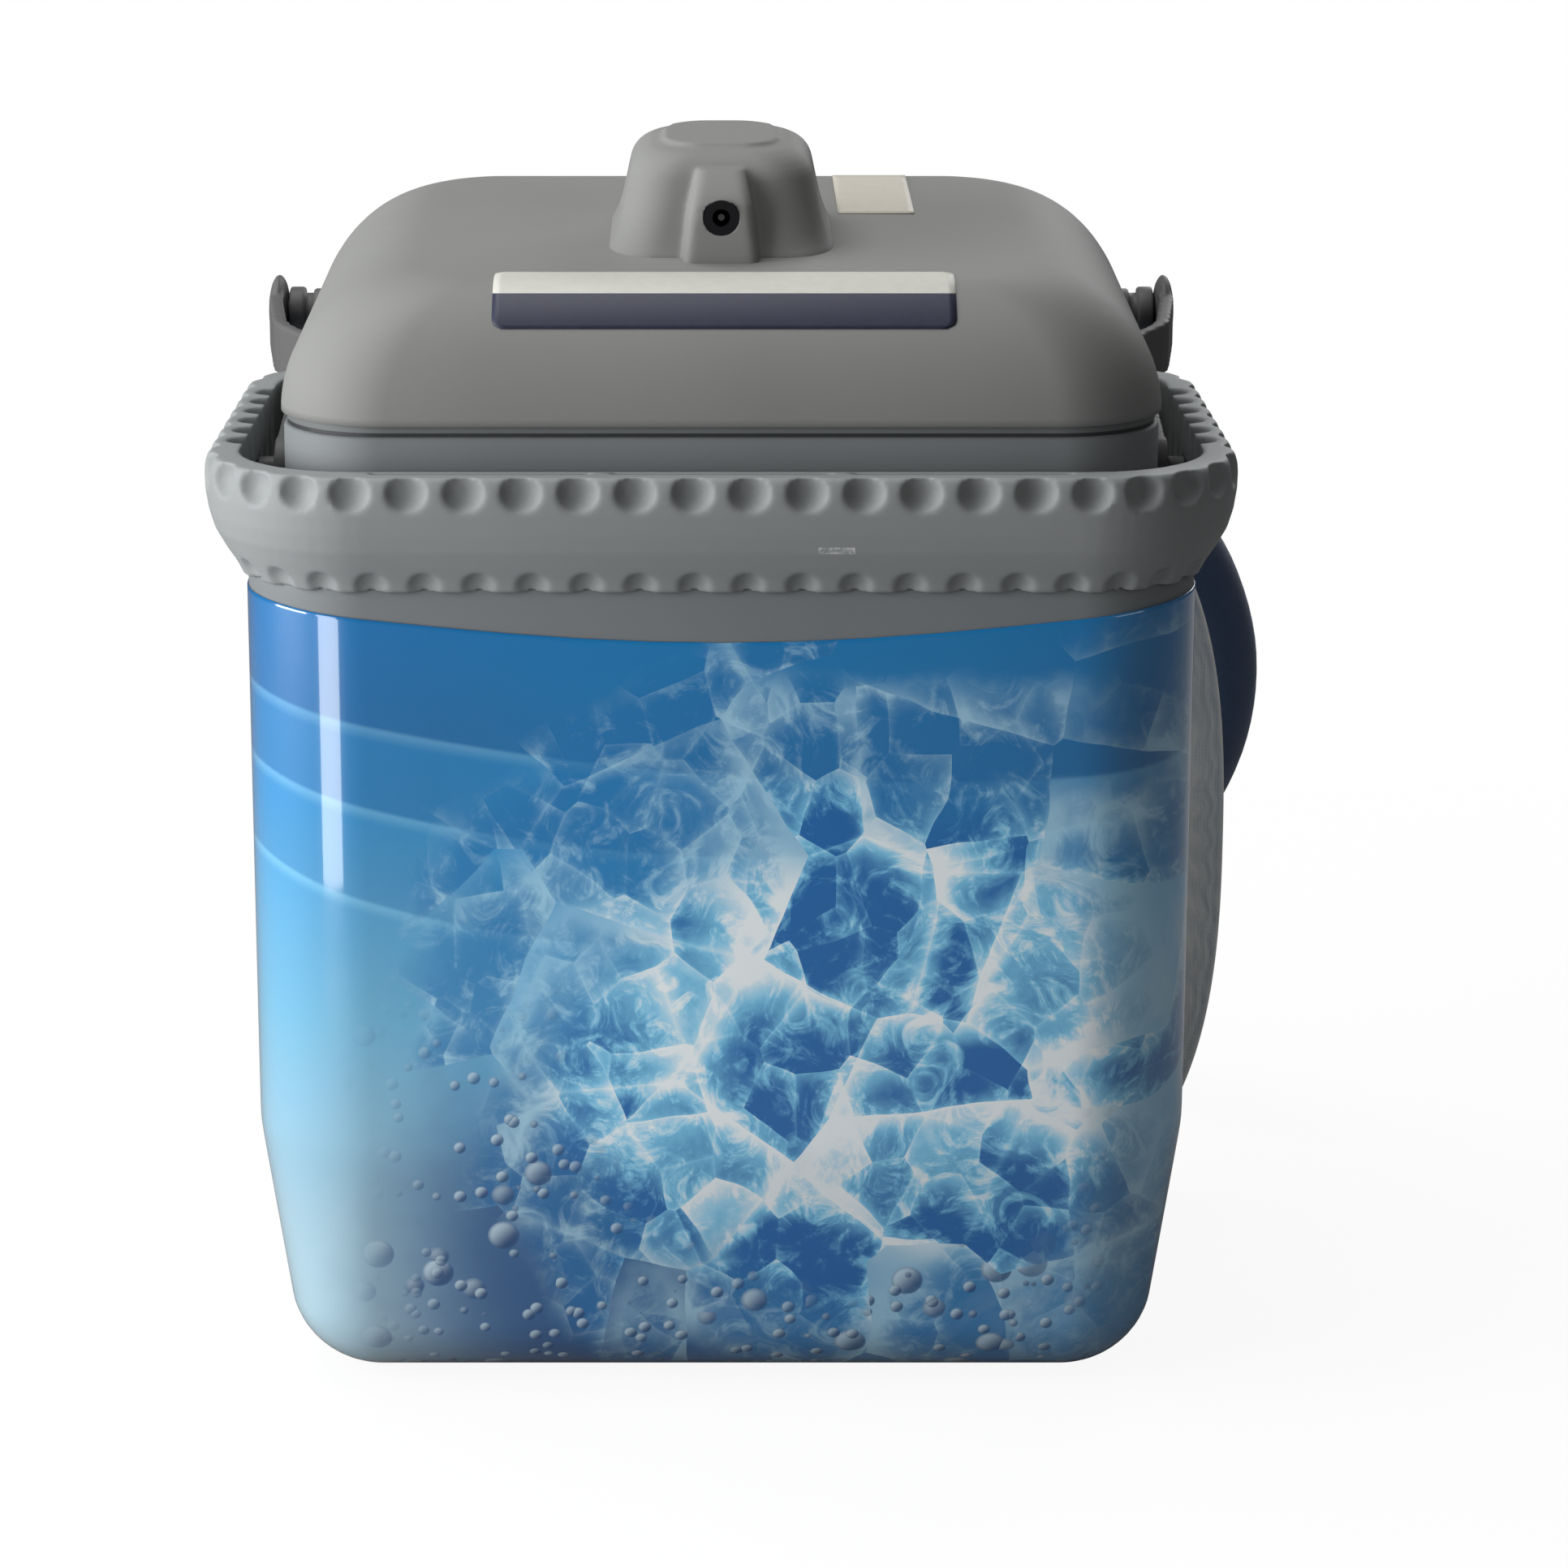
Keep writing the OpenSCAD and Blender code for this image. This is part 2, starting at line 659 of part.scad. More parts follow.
// Rim plate of the lid with the hollow plug below it
module lid_base() {
    plug_hw = liner_lip - liner_t - 1.5;
    plug_hd = neck_d / 2 - shell_t - liner_t - 1.5;
    plug_r = neck_r - 6;
    color([0.45, 0.46, 0.46])
        difference() {
            union() {
                plan_prism(neck_w / 2 - 1, neck_d / 2 - 1, neck_r, lid_z, lid_z + lid_rim_t);
                plan_prism(plug_hw, plug_hd, plug_r, lid_floor_z, lid_z);
            }
            plan_prism(plug_hw - 2, plug_hd - 2, plug_r - 2, lid_floor_z + 2, lid_z + lid_rim_t + 1);
            translate([0, housing_y, lid_floor_z - 1])
                cylinder(d = stem_d + 2 * slip_gap, h = 4, $fn = round_fn);
            translate([riser_x, housing_y, lid_floor_z - 1])
                cylinder(d = riser_d + 2 * slip_gap, h = 4, $fn = round_fn);
        }
}

module lid_foam() {
    hw = liner_lip - liner_t - 4;
    hd = neck_d / 2 - shell_t - liner_t - 4;
    color([0.93, 0.90, 0.78])
        difference() {
            plan_prism(hw, hd, neck_r - 9, lid_floor_z + 2, lid_z + lid_rim_t);
            translate([-bracket_w / 2 - 2, housing_y - bracket_d / 2 - 3, lid_floor_z])
                cube([bracket_w + 4, bracket_d + 6, plug_h + 6]);
        }
}

// Seal between the lid's rim plate and the neck
module lid_gasket() {
    color([0.16, 0.16, 0.17])
        difference() {
            plan_prism(neck_w / 2 - 1.6, neck_d / 2 - 1.6, neck_r - 1.6, neck_top_z, lid_z);
            plan_prism(liner_lip - liner_t - 0.6, neck_d / 2 - shell_t - liner_t - 0.6, neck_r - 5.5,
                       neck_top_z - 1, lid_z + 1);
        }
}

// Pump housing -------------------------------------------------------------

// Height of the lid's top at depth y
function lid_surface(y) = lid_top_z + lid_slope * y;

// Rings up the housing, a distance t inside its outer surface
function housing_rings(t, foot) = concat(
    [housing_ring(t - 1.6, 0, foot), housing_ring(t - 1.2, 1.6, foot), housing_ring(t, 4.4, foot)],
    [for (k = [1:6])
        let (a = 90 * k / 6, soft = 8)
        housing_ring(t + soft * (1 - cos(a)), housing_h - soft + (soft - t) * sin(a), foot)]);

function housing_ring(inset, up, foot) =
    let (in = inset + housing_draft * up / housing_h)
    [for (p = plan_ring(housing_w / 2 - in, housing_d / 2 - in, 15 - in * 0.5, 0))
        [p.x, p.y + housing_y, (up <= 0 ? foot : 0) + lid_surface(p.y + housing_y) + up]];

// Rings up the nose that holds the jack
nose_y = housing_y - housing_d / 2 - nose_out;
nose_l = 20;
function nose_rings(t) = [
    for (s = [[0, 0], [0, 0.6], [0.8, 0.78], [2.2, 0.9], [4.8, 0.98], [7, 1]])
        let (up = s[1] * (nose_h - t), in = s[0] + t, back = 2.5 * s[1])
        [for (p = plan_ring(nose_w / 2 - in, nose_l / 2 - in * 0.7, max(1.2, 5 - in * 0.5), 0))
            [p.x, p.y + nose_y + nose_l / 2 + back, lid_surface(p.y + nose_y + nose_l / 2 + back) + up]]];

jack_face_y = nose_y + 1.4;
jack_flange_t = 1.5;
jack_barrel_d = jack_d - 2.5;
jack_nut_y = housing_y - housing_d / 2 + housing_wall + pin_gap
    + housing_draft * (jack_up + jack_d / 2) / housing_h;
jack_z = lid_surface(nose_y) + jack_up;

module pump_housing() {
    color([0.52, 0.53, 0.53])
        difference() {
            union() {
                skin(housing_rings(0, 0));
                skin(nose_rings(0));
            }
            skin(housing_rings(housing_wall, -1));
            translate([0, nose_y - 1, jack_z])
                rotate([-90, 0, 0])
                    cylinder(d = jack_barrel_d + 2 * slip_gap, h = nose_out + 9, $fn = round_fn);
            translate([0, nose_y - 2, jack_z])
                rotate([-90, 0, 0])
                    cylinder(d = jack_d + pin_gap, h = jack_face_y - nose_y + 2, $fn = round_fn);
        }
}

module motor() {
    color([0.72, 0.72, 0.74])
        translate([0, housing_y, motor_z])
            difference() {
                union() {
                    cylinder(d = motor_d, h = motor_h, $fn = round_fn);
                    translate([0, 0, motor_h])
                        cylinder(d = 12, h = 3, $fn = round_fn);
                }
                translate([0, 0, -1])
                    cylinder(d = shaft_d + 2 * slip_gap, h = 16, $fn = round_fn);
            }
}

// Plate across the lid's plug that carries the motor and the stem
module motor_bracket() {
    z = lid_floor_z + 2;
    top = motor_z - bracket_t;
    color([0.35, 0.36, 0.37])
        difference() {
            union() {
                translate([-bracket_w / 2, housing_y - bracket_d / 2, z])
                    cube([bracket_w, bracket_d, bracket_t]);
                translate([0, housing_y, z])
                    cylinder(d = stem_d + 8, h = top - z, $fn = round_fn);
                translate([0, housing_y, top])
                    cylinder(d = motor_d + 2, h = bracket_t, $fn = round_fn);
            }
            translate([0, housing_y, z - 1])
                cylinder(d = stem_d + 2 * slip_gap, h = top - z + 1, $fn = round_fn);
            translate([0, housing_y, z - 1])
                cylinder(d = shaft_d + 4, h = top - z + 6, $fn = round_fn);
            translate([riser_x, housing_y, z - 1])
                cylinder(d = riser_d + 2 * slip_gap, h = 6, $fn = round_fn);
        }
}

module circuit_board() {
    color([0.10, 0.36, 0.22])
        translate([-31, housing_y - 26, lid_floor_z + 5]) {
            cube([14, 40, 1.6]);
            translate([3, 6, 1.6])
                cube([8, 10, 3]);
            translate([4, 22, 1.6])
                cube([6, 12, 2]);
        }
}

// Barrel jack: flange, barrel and open socket
module jack_body() {
    color([0.07, 0.07, 0.08])
        translate([0, jack_face_y - jack_flange_t, jack_z])
            rotate([-90, 0, 0])
                difference() {
                    union() {
                        cylinder(d = jack_d, h = jack_flange_t, $fn = round_fn);
                        cylinder(d = jack_barrel_d, h = jack_nut_y + 2.5 - jack_face_y + jack_flange_t,
                                 $fn = round_fn);
                    }
                    translate([0, 0, -1])
                        cylinder(d = jack_bore_d, h = 10, $fn = round_fn);
                }
}

module jack_pin() {
    color([0.80, 0.80, 0.82])
        translate([0, jack_face_y, jack_z])
            rotate([-90, 0, 0])
                cylinder(d = jack_pin_d, h = 7.5, $fn = round_fn);
}

module jack_nut() {
    color([0.75, 0.75, 0.77])
        translate([0, jack_nut_y, jack_z])
            rotate([-90, 0, 0])
                difference() {
                    cylinder(d = jack_d + 0.6, h = 2, $fn = 6);
                    translate([0, 0, -1])
                        cylinder(d = jack_barrel_d + thin_gap, h = 4, $fn = round_fn);
                }
}

// Pump ---------------------------------------------------------------------

module stem_tube() {
    top = motor_z - bracket_t;
    color([0.88, 0.89, 0.90])
        translate([0, housing_y, stem_z])
            difference() {
                cylinder(d = stem_d, h = top - stem_z, $fn = round_fn);
                translate([0, 0, -1])
                    cylinder(d = stem_d - 2 * stem_t, h = top - stem_z + 2, $fn = round_fn);
            }
}

// Pump casing, open below, with a side outlet up into the riser
module volute() {
    color([0.88, 0.89, 0.90])
        translate([0, housing_y, volute_z])
            difference() {
                union() {
                    cylinder(d = volute_d, h = volute_h, $fn = round_fn);
                    translate([riser_x, 0, 4])
                        cylinder(d = riser_d + 5, h = volute_h - 4, $fn = round_fn);
                }
                translate([0, 0, -1])
                    cylinder(d = volute_d - 5, h = volute_h - 2, $fn = round_fn);
                translate([0, 0, volute_h - 4])
                    cylinder(d = shaft_d + 2 * slip_gap, h = 6, $fn = round_fn);
                translate([riser_x, 0, 8])
                    cylinder(d = riser_d - 3, h = volute_h, $fn = round_fn);
            }
}

// Slotted cup under the casing
module strainer() {
    slots = 12;
    color([0.20, 0.21, 0.22])
        translate([0, housing_y, strainer_z])
            difference() {
                cylinder(d = volute_d - 1, h = strainer_h, $fn = round_fn);
                translate([0, 0, 2])
                    cylinder(d = volute_d - 5, h = strainer_h, $fn = round_fn);
                for (k = [0:slots - 1])
                    rotate([0, 0, 360 * k / slots])
                        translate([volute_d / 2 - 4, -1.5, 3])
                            cube([6, 3, strainer_h - 6]);
            }
}

module riser_tube() {
    color([0.85, 0.88, 0.90])
        translate([riser_x, housing_y, stem_z])
            difference() {
                cylinder(d = riser_d, h = lid_z + 6 - stem_z, $fn = round_fn);
                translate([0, 0, -1])
                    cylinder(d = riser_d - 3, h = lid_z + 8 - stem_z, $fn = round_fn);
            }
}

// Soft tube inside the lid from the riser to the outlet elbow
module outlet_tube() {
    path = [[riser_x, housing_y, lid_z + 6],
            [riser_x, housing_y, lid_z + 11],
            [riser_x + 3, housing_y + 4, lid_z + 16],
            [riser_x + 14, housing_y + 18, outlet_z - 3],
            [outlet_x - 10, outlet_y - 50, outlet_z],
            [outlet_x, outlet_y - 32, outlet_z],
            [outlet_x, outlet_y - 20, outlet_z]];
    color([0.80, 0.84, 0.86])
        tube(smooth_route(path, 3), riser_d / 2, 10, [0, 0, 1], [0, 1, 0]);
}

module drive_shaft() {
    bottom = volute_z + 3;
    color([0.78, 0.78, 0.80])
        translate([0, housing_y, bottom])
            cylinder(d = shaft_d, h = motor_z + 12 - bottom, $fn = round_fn);
}

module impeller() {
    hub_d = shaft_d + 6;
    color([0.25, 0.26, 0.28])
        translate([0, housing_y, volute_z + 4])
            difference() {
                union() {
                    cylinder(d = hub_d, h = 9, $fn = round_fn);
                    translate([0, 0, 7.5])
                        cylinder(d = impeller_d, h = 1.5, $fn = round_fn);
                    for (k = [0:blade_n - 1])
                        rotate([0, 0, 360 * k / blade_n])
                            translate([hub_d / 2 - 1, -0.8, 1])
                                cube([(impeller_d - hub_d) / 2 + 0.6, 1.6, 7]);
                }
                translate([0, 0, -1])
                    cylinder(d = shaft_d + 2 * thin_gap, h = 12, $fn = round_fn);
            }
}

// Moulded elbow that turns the hose down behind the lid
module hose_elbow() {
    color([0.14, 0.15, 0.17])
        translate([outlet_x, outlet_y, outlet_z])
            rotate([0, -elbow_lean, 0]) {
                translate([0, 0, -elbow_bend])
                    rotate([0, -90, 0])
                        rotate_extrude(angle = 90, $fn = round_fn)
                            translate([elbow_bend, 0])
                                circle(d = hose_d, $fn = round_fn);
                translate([0, -20, 0])
                    rotate([-90, 0, 0])
                        cylinder(d = hose_d - 8, h = 20, $fn = round_fn);
            }
}

// Handle -------------------------------------------------------------------

// Side view of an arm, in depth and height from the pivot
module arm_side() {
    rotate([0, 0, arm_angle])
        translate([0, -arm_w / 2])
            square([norm([grip_back, grip_up]), arm_w]);
    circle(arm_boss_r, $fn = round_fn);
    translate([grip_back, grip_up])
        circle(arm_end_r - 3, $fn = round_fn);
}

// Plan of an arm: straight in the moat, then flared out to the grip
flare_steps = 6;
module arm_plan() {
    line = concat(
        [[-arm_boss_r - 1, 0], [flare_from, 0]],
        [for (k = [1:flare_steps])
            let (t = k / flare_steps)
            [flare_from + (flare_mid - flare_from) * t, 0.8 * arm_flare * (1 - cos(180 * t)) / 2]],
        [[flare_to, arm_flare], [grip_back + arm_end_r + 1, arm_flare]]);
    polygon(concat([for (p = line) [p.y, p.x]], [for (p = reversed(line)) [p.y + arm_t, p.x]]));
}

// Round end of an arm, thick in the middle and thin at its edge
module arm_end() {
    translate([end_x + arm_t / 2, grip_back, grip_z])
        rotate([0, 90, 0])
            rotate_extrude($fn = round_fn)
                polygon([for (k = [0:12])
                    let (a = 180 * k / 12 - 90)
                    [k % 12 == 0 ? 0 : arm_end_r * cos(a), arm_end_t / 2 * sin(a)]]);
}

module handle_arm(s) {
    color([0.31, 0.31, 0.31])
        mirrored(s)
            difference() {
                union() {
                    arm_end();
                    intersection() {
                        translate([arm_x, 0, 0])
                            translate([0, 0, pivot_z - arm_w])
                                linear_extrude(grip_up + 2 * arm_w + arm_end_r)
                                    arm_plan();
                        translate([arm_x - 1, 0, pivot_z])
                            rotate([90, 0, 90])
                                linear_extrude(arm_flare + arm_t + 2)
                                    arm_side();
                    }
                }
                translate([arm_x - 1, 0, pivot_z])
                    rotate([0, 90, 0])
                        cylinder(d = pivot_d + pin_gap * 2, h = arm_t + 2, $fn = round_fn);
                translate([end_x - arm_end_t, grip_back, grip_z])
                    rotate([0, 90, 0])
                        cylinder(d = grip_core_d + thin_gap * 2, h = 2 * arm_end_t + arm_t, $fn = round_fn);
            }
}

module mirrored(s) {
    if (s < 0)
        mirror([1, 0, 0]) children();
    else
        children();
}

module grip_core() {
    color([0.28, 0.28, 0.28])
        translate([-end_x - arm_t, grip_back, grip_z])
            rotate([0, 90, 0])
                cylinder(d = grip_core_d, h = 2 * (end_x + arm_t), $fn = round_fn);
}

// Hollow grip over the core, with a collar at each end
module grip_sleeve() {
    half = end_x + arm_t / 2 - arm_end_t / 2 - pin_gap;
    color([0.36, 0.36, 0.35])
        translate([0, grip_back, grip_z])
            rotate([0, 90, 0])
                difference() {
                    union() {
                        translate([0, 0, -half])
                            cylinder(d = grip_d - 1.6, h = 2 * half, $fn = round_fn);
                        for (s = [-1, 1])
                            translate([0, 0, s * (half - 2) - 2])
                                cylinder(d = grip_d, h = 4, $fn = round_fn);
                        translate([0, 0, -half + 9])
                            cylinder(d = grip_d, h = 2 * half - 18, $fn = round_fn);
                    }
                    translate([0, 0, -half - 1])
                        cylinder(d = grip_core_d + 2 * thin_gap, h = 2 * half + 2, $fn = round_fn);
                }
}

// Hose, coupling and pad ---------------------------------------------------

function unit(v) = v / norm(v);

// Points on a smooth curve through the route, sub steps to each span
function curve_at(p0, p1, p2, p3, t) =
    0.5 * (2 * p1 + (p2 - p0) * t + (2 * p0 - 5 * p1 + 4 * p2 - p3) * t * t
           + (3 * p1 - p0 - 3 * p2 + p3) * t * t * t);
function smooth_route(pts, sub) =
    let (n = len(pts))
    concat([for (i = [0:n - 2], k = [0:sub - 1])
        curve_at(i == 0 ? 2 * pts[0] - pts[1] : pts[i - 1], pts[i], pts[i + 1],
                 i == n - 2 ? 2 * pts[n - 1] - pts[n - 2] : pts[i + 2], k / sub)],
        [pts[n - 1]]);

// Directions along the points, with the first and last given
function tangents(pts, first, last) = let (n = len(pts)) [
    for (i = [0:n - 1])
        i == 0 ? unit(first)
        : i == n - 1 ? unit(last)
        : unit(pts[i + 1] - pts[i - 1])];

function across(v, t) = unit(v - (v * t) * t);

// A tube swept along points, its rings carried without twist, with its end faces square to first and last
module tube(pts, r, sides, first, last) {
    t = tangents(pts, first, last);
    n = [for (i = 0, v = across([0, 1, 0.1], t[0]); i < len(pts);
              i = i + 1, v = i < len(pts) ? across(v, t[i]) : v) v];
    skin([for (i = [0:len(pts) - 1])
        let (u = n[i], w = cross(t[i], u))
        [for (k = [0:sides - 1]) let (a = 360 * k / sides) pts[i] + r * (cos(a) * u + sin(a) * w)]]);
}

route = smooth_route(hose_points, 2);
route_length = len(route) < 2 ? 0 : [for (i = 0, s = 0; i < len(route);
    i = i + 1, s = i < len(route) ? s + norm(route[i] - route[i - 1]) : s) s][len(route) - 1];
echo(hose_length = route_length);

module hose_run() {
    color([0.10, 0.15, 0.24])
        tube(route, hose_r, 12, hose_out, [0, -1, 0]);
}

// Coupling half on the hose, with a pocket for the latch button
module coupling_body() {
    r = hose_r - 1;
    color([0.86, 0.87, 0.88])
        translate([pad_x, coupling_y, hose_r])
            rotate([-90, 0, 0])
                difference() {
                    union() {
                        cylinder(r = r, h = coupling_l - 14, $fn = round_fn);
                        translate([0, 0, coupling_l - 14])
                            cylinder(r = r - 2, h = 8, $fn = round_fn);
                        translate([0, 0, coupling_l - 6])
                            cylinder(r = r, h = 6, $fn = round_fn);
                    }
                    translate([0, 0, -1])
                        cylinder(d = nipple_d + 2 * slip_gap, h = nipple_l + 4, $fn = round_fn);
                    translate([-5 - seat_gap, -r - 1, 24])
                        cube([10 + 2 * seat_gap, 9.5, 10]);
                }
}

module latch_button() {
    top = 2 * hose_r - 1 + latch_travel - 0.4;
    color([0.55, 0.57, 0.60])
        translate([pad_x - 5, coupling_y + 24 + seat_gap, top - 7])
            cube([10, 10 - 2 * seat_gap, 7]);
}

// Flange on the pad's back with the nipple that the coupling takes
module pad_fitting() {
    start_y = pad_y + pad_edge / 2;
    color([0.86, 0.87, 0.88])
        translate([pad_x, start_y, hose_r])
            rotate([-90, 0, 0])
                difference() {
                    union() {
                        cylinder(r = hose_r - 1, h = pad_t, $fn = round_fn);
                        cylinder(d = nipple_d + 6, h = coupling_y - start_y, $fn = round_fn);
                        cylinder(d = nipple_d, h = coupling_y - start_y + nipple_l, $fn = round_fn);
                    }
                    translate([0, 0, pad_t])
                        cylinder(d = nipple_d / 2, h = coupling_y + nipple_l, $fn = round_fn);
                }
}

// Outline of the pad at share s of its size, with scallops of height w
pad_points = 120;
function pad_ring(inset, w, y) = [
    for (k = [0:pad_points - 1])
        let (a = 360 * k / pad_points, c = cos(a), s = sin(a), n = 2.6,
             hw = pad_w / 2 - inset, hh = pad_h / 2 - inset,
             g = pow(pow(abs(c) / hw, n) + pow(abs(s) / hh, n), -1 / n) + w * cos(pad_wave_n * a))
        [pad_x + g * c, pad_y + y, pad_bottom_z + pad_h / 2 + g * s]];

module cold_pad() {
    edge = pad_edge / 2;
    half = pad_t / 2;
    color([0.88, 0.88, 0.86])
        skin([pad_ring(34, 0, half), pad_ring(20, 0, half - 0.6),
              pad_ring(pad_border + pad_wave, pad_wave, edge + 1.8), pad_ring(pad_border, pad_wave, edge),
              pad_ring(0, 0, edge), pad_ring(0, 0, -edge), pad_ring(pad_border, pad_wave, -edge),
              pad_ring(pad_border + pad_wave, pad_wave, -edge - 1.8),
              pad_ring(20, 0, 0.6 - half), pad_ring(34, 0, -half)]);
}

// Drawing ------------------------------------------------------------------

place() outer_shell();
place() neck_collar();
place() graphic_film();
place() insulation_foam();
place() inner_liner();
place() grip_ring();
place() foot(-1, -1);  // foot_1
place() foot(1, -1);  // foot_2
place() foot(1, 1);  // foot_3
place() foot(-1, 1);  // foot_4
place() pivot_pin(-1);  // pivot_pin_left
place() pivot_pin(1);  // pivot_pin_right
place() lid_cover();
place() pump_housing();
place() lid_base();
place() lid_foam();
place() lid_gasket();
place() motor();
place() motor_bracket();
place() circuit_board();
place() jack_body();
place() jack_pin();
place() jack_nut();
place() stem_tube();
place() volute();
place() strainer();
place() riser_tube();
place() outlet_tube();
place() hose_elbow();
place() drive_shaft();
place() impeller();
place() handle_arm(-1);  // handle_arm_left
place() handle_arm(1);  // handle_arm_right
place() grip_core();
place() grip_sleeve();
place() hose_run();
place() coupling_body();
place() latch_button();
place() pad_fitting();
place() cold_pad();
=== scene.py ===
import math

import bmesh
import bpy
from mathutils import Matrix, Vector
from mathutils.kdtree import KDTree


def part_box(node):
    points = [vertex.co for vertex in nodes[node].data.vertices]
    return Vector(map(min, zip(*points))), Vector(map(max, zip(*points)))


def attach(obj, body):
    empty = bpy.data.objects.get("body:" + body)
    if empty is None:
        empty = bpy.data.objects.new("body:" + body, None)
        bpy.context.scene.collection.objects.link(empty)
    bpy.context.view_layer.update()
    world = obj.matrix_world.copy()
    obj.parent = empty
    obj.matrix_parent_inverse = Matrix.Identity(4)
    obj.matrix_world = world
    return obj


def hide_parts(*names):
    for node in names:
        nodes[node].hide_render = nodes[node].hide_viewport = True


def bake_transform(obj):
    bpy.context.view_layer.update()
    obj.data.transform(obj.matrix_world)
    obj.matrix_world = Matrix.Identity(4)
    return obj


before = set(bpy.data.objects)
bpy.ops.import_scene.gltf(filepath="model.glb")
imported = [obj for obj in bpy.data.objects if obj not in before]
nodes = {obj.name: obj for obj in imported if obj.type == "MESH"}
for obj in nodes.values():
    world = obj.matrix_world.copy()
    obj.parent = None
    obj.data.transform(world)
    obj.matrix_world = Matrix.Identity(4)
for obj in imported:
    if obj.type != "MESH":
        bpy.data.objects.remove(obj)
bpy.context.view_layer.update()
print("frame loaded:", len(nodes), "CAD nodes")

rearShift = 0.0285  # the tub's middle stands this far in front of the origin


def tub(x, y, z):
    # millimetres in the tub's own frame to metres in the row frame
    return Vector((x / 1000, y / 1000 - rearShift, z / 1000))


# camera
scene = bpy.context.scene
scene.view_settings.view_transform = "Standard"

cameraSet = {
    "place": tub(0, -1381, 566),
    "pitch": 13.0,  # degrees below the horizon
    "lens": 98.1,
    "shift": (0.040, -0.1206),
}
cameraData = bpy.data.cameras.new("camera")
cameraData.sensor_width = 36
cameraData.lens = cameraSet["lens"]
cameraData.shift_x, cameraData.shift_y = cameraSet["shift"]
cameraData.clip_start, cameraData.clip_end = 0.05, 40
camera = bpy.data.objects.new("camera", cameraData)
scene.collection.objects.link(camera)
camera.location = cameraSet["place"]
camera.rotation_euler = (math.radians(90 - cameraSet["pitch"]), 0, 0)
scene.camera = camera
print("camera set")


# curves and tubes
def smoothRoute(points, steps):
    # the same smooth curve as the CAD route, with more steps to a span
    pts = [Vector(p) for p in points]
    n = len(pts)
    out = []
    for i in range(n - 1):
        a = pts[i - 1] if i > 0 else 2 * pts[0] - pts[1]
        b, c = pts[i], pts[i + 1]
        d = pts[i + 2] if i < n - 2 else 2 * pts[-1] - pts[-2]
        for k in range(steps):
            t = k / steps
            out.append(0.5 * (2 * b + (c - a) * t + (2 * a - 5 * b + 4 * c - d) * t * t
                              + (3 * b - a - 3 * c + d) * t ** 3))
    out.append(pts[-1])
    return out


def carriedFrames(path, first, last):
    # tangent, side and second side at each point, carried without twist
    frames, side, n = [], Vector((0, 1, 0.1)), len(path)
    for i, p in enumerate(path):
        ahead = (path[min(i + 1, n - 1)] - path[max(i - 1, 0)]).normalized()
        ahead = first if i == 0 and first else last if i == n - 1 and last else ahead
        side = (side - side.dot(ahead) * ahead).normalized()
        frames.append((p, ahead, side, ahead.cross(side)))
    return frames


def newMesh(name, bm, smooth=True):
    mesh = bpy.data.meshes.new(name)
    bmesh.ops.recalc_face_normals(bm, faces=bm.faces)
    bm.to_mesh(mesh)
    bm.free()
    for face in mesh.polygons:
        face.use_smooth = smooth
    made = bpy.data.objects.new(name, mesh)
    scene.collection.objects.link(made)
    return made


def fitted(made, finish, standsFor, body):
    # the piece gets its finish, the CAD node that it stands for and its body
    made.data.materials.append(finish)
    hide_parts(standsFor)
    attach(made, body)
    return made


def skinRings(bm, rings, closed=False):
    # faces over rings of points, with a fan over both ends unless the rings run back into the first
    rows = [[bm.verts.new(p) for p in ring] for ring in rings]
    count = len(rows[0])
    for i in range(len(rows) if closed else len(rows) - 1):
        a, b = rows[i], rows[(i + 1) % len(rows)]
        for j in range(count):
            k = (j + 1) % count
            bm.faces.new((a[j], a[k], b[k], b[j]))
    for row in () if closed else (rows[0], rows[-1]):
        middle = bm.verts.new(sum((v.co for v in row), Vector()) / count)
        for j in range(count):
            bm.faces.new((row[j], row[(j + 1) % count], middle))


def tubeRings(path, radii, sides, first=None, last=None):
    rings = []
    for (p, ahead, u, w), r in zip(carriedFrames(path, first, last), radii):
        rings.append([p + r * (math.cos(a) * u + math.sin(a) * w)
                      for a in (2 * math.pi * k / sides for k in range(sides))])
    return rings


# hose
hoseSet = {
    "radius": 0.014,  # metres
    "steps": 6,
    "sides": 32,
    "bend": 29,  # radius of the elbow's bend
    "lean": math.radians(40),  # how far the elbow's end leans to the right
    "outlet": Vector((66, 95, 345)),
}
hoseOut = Vector((math.sin(hoseSet["lean"]), 0, -math.cos(hoseSet["lean"])))
elbowEnd = hoseSet["outlet"] + hoseSet["bend"] * (hoseOut + Vector((0, 1, 0)))
hosePoints = [
    elbowEnd + 0.02 * hoseOut, (107.3, 124.3, 295.8), (131.4, 133.2, 269.8), (155.7, 145.5, 246.6),
    (175.5, 157.1, 219.3), (186, 169.8, 184.5), (183.9, 182.9, 148.2), (169.7, 195.6, 115.2),
    (146, 205, 88.8), (117.3, 208.2, 69.8), (86.2, 206.7, 50.4), (55.5, 204.2, 31.4),
    (23, 195.9, 19.9), (-18.7, 193.1, 15.6), (-57.5, 204.3, 14), (-86.4, 224.9, 14),
    (-108.1, 255.2, 14), (-117.9, 289.2, 14), (-116.2, 323.2, 14), (-102.7, 356.4, 14),
    (-78.8, 383.3, 14), (-45.3, 401.4, 14), (-2.4, 406.8, 14), (36.6, 397.1, 14), (65.8, 378.5, 14),
    (89, 351, 14), (105.8, 318.6, 14), (113.6, 283, 14), (114.2, 246.9, 14), (113, 211.3, 14),
    (113, 176, 14),
]
hosePath = smoothRoute([tub(*p) for p in hosePoints], hoseSet["steps"])
hoseLength = sum((a - b).length for a, b in zip(hosePath, hosePath[1:]))
bm = bmesh.new()
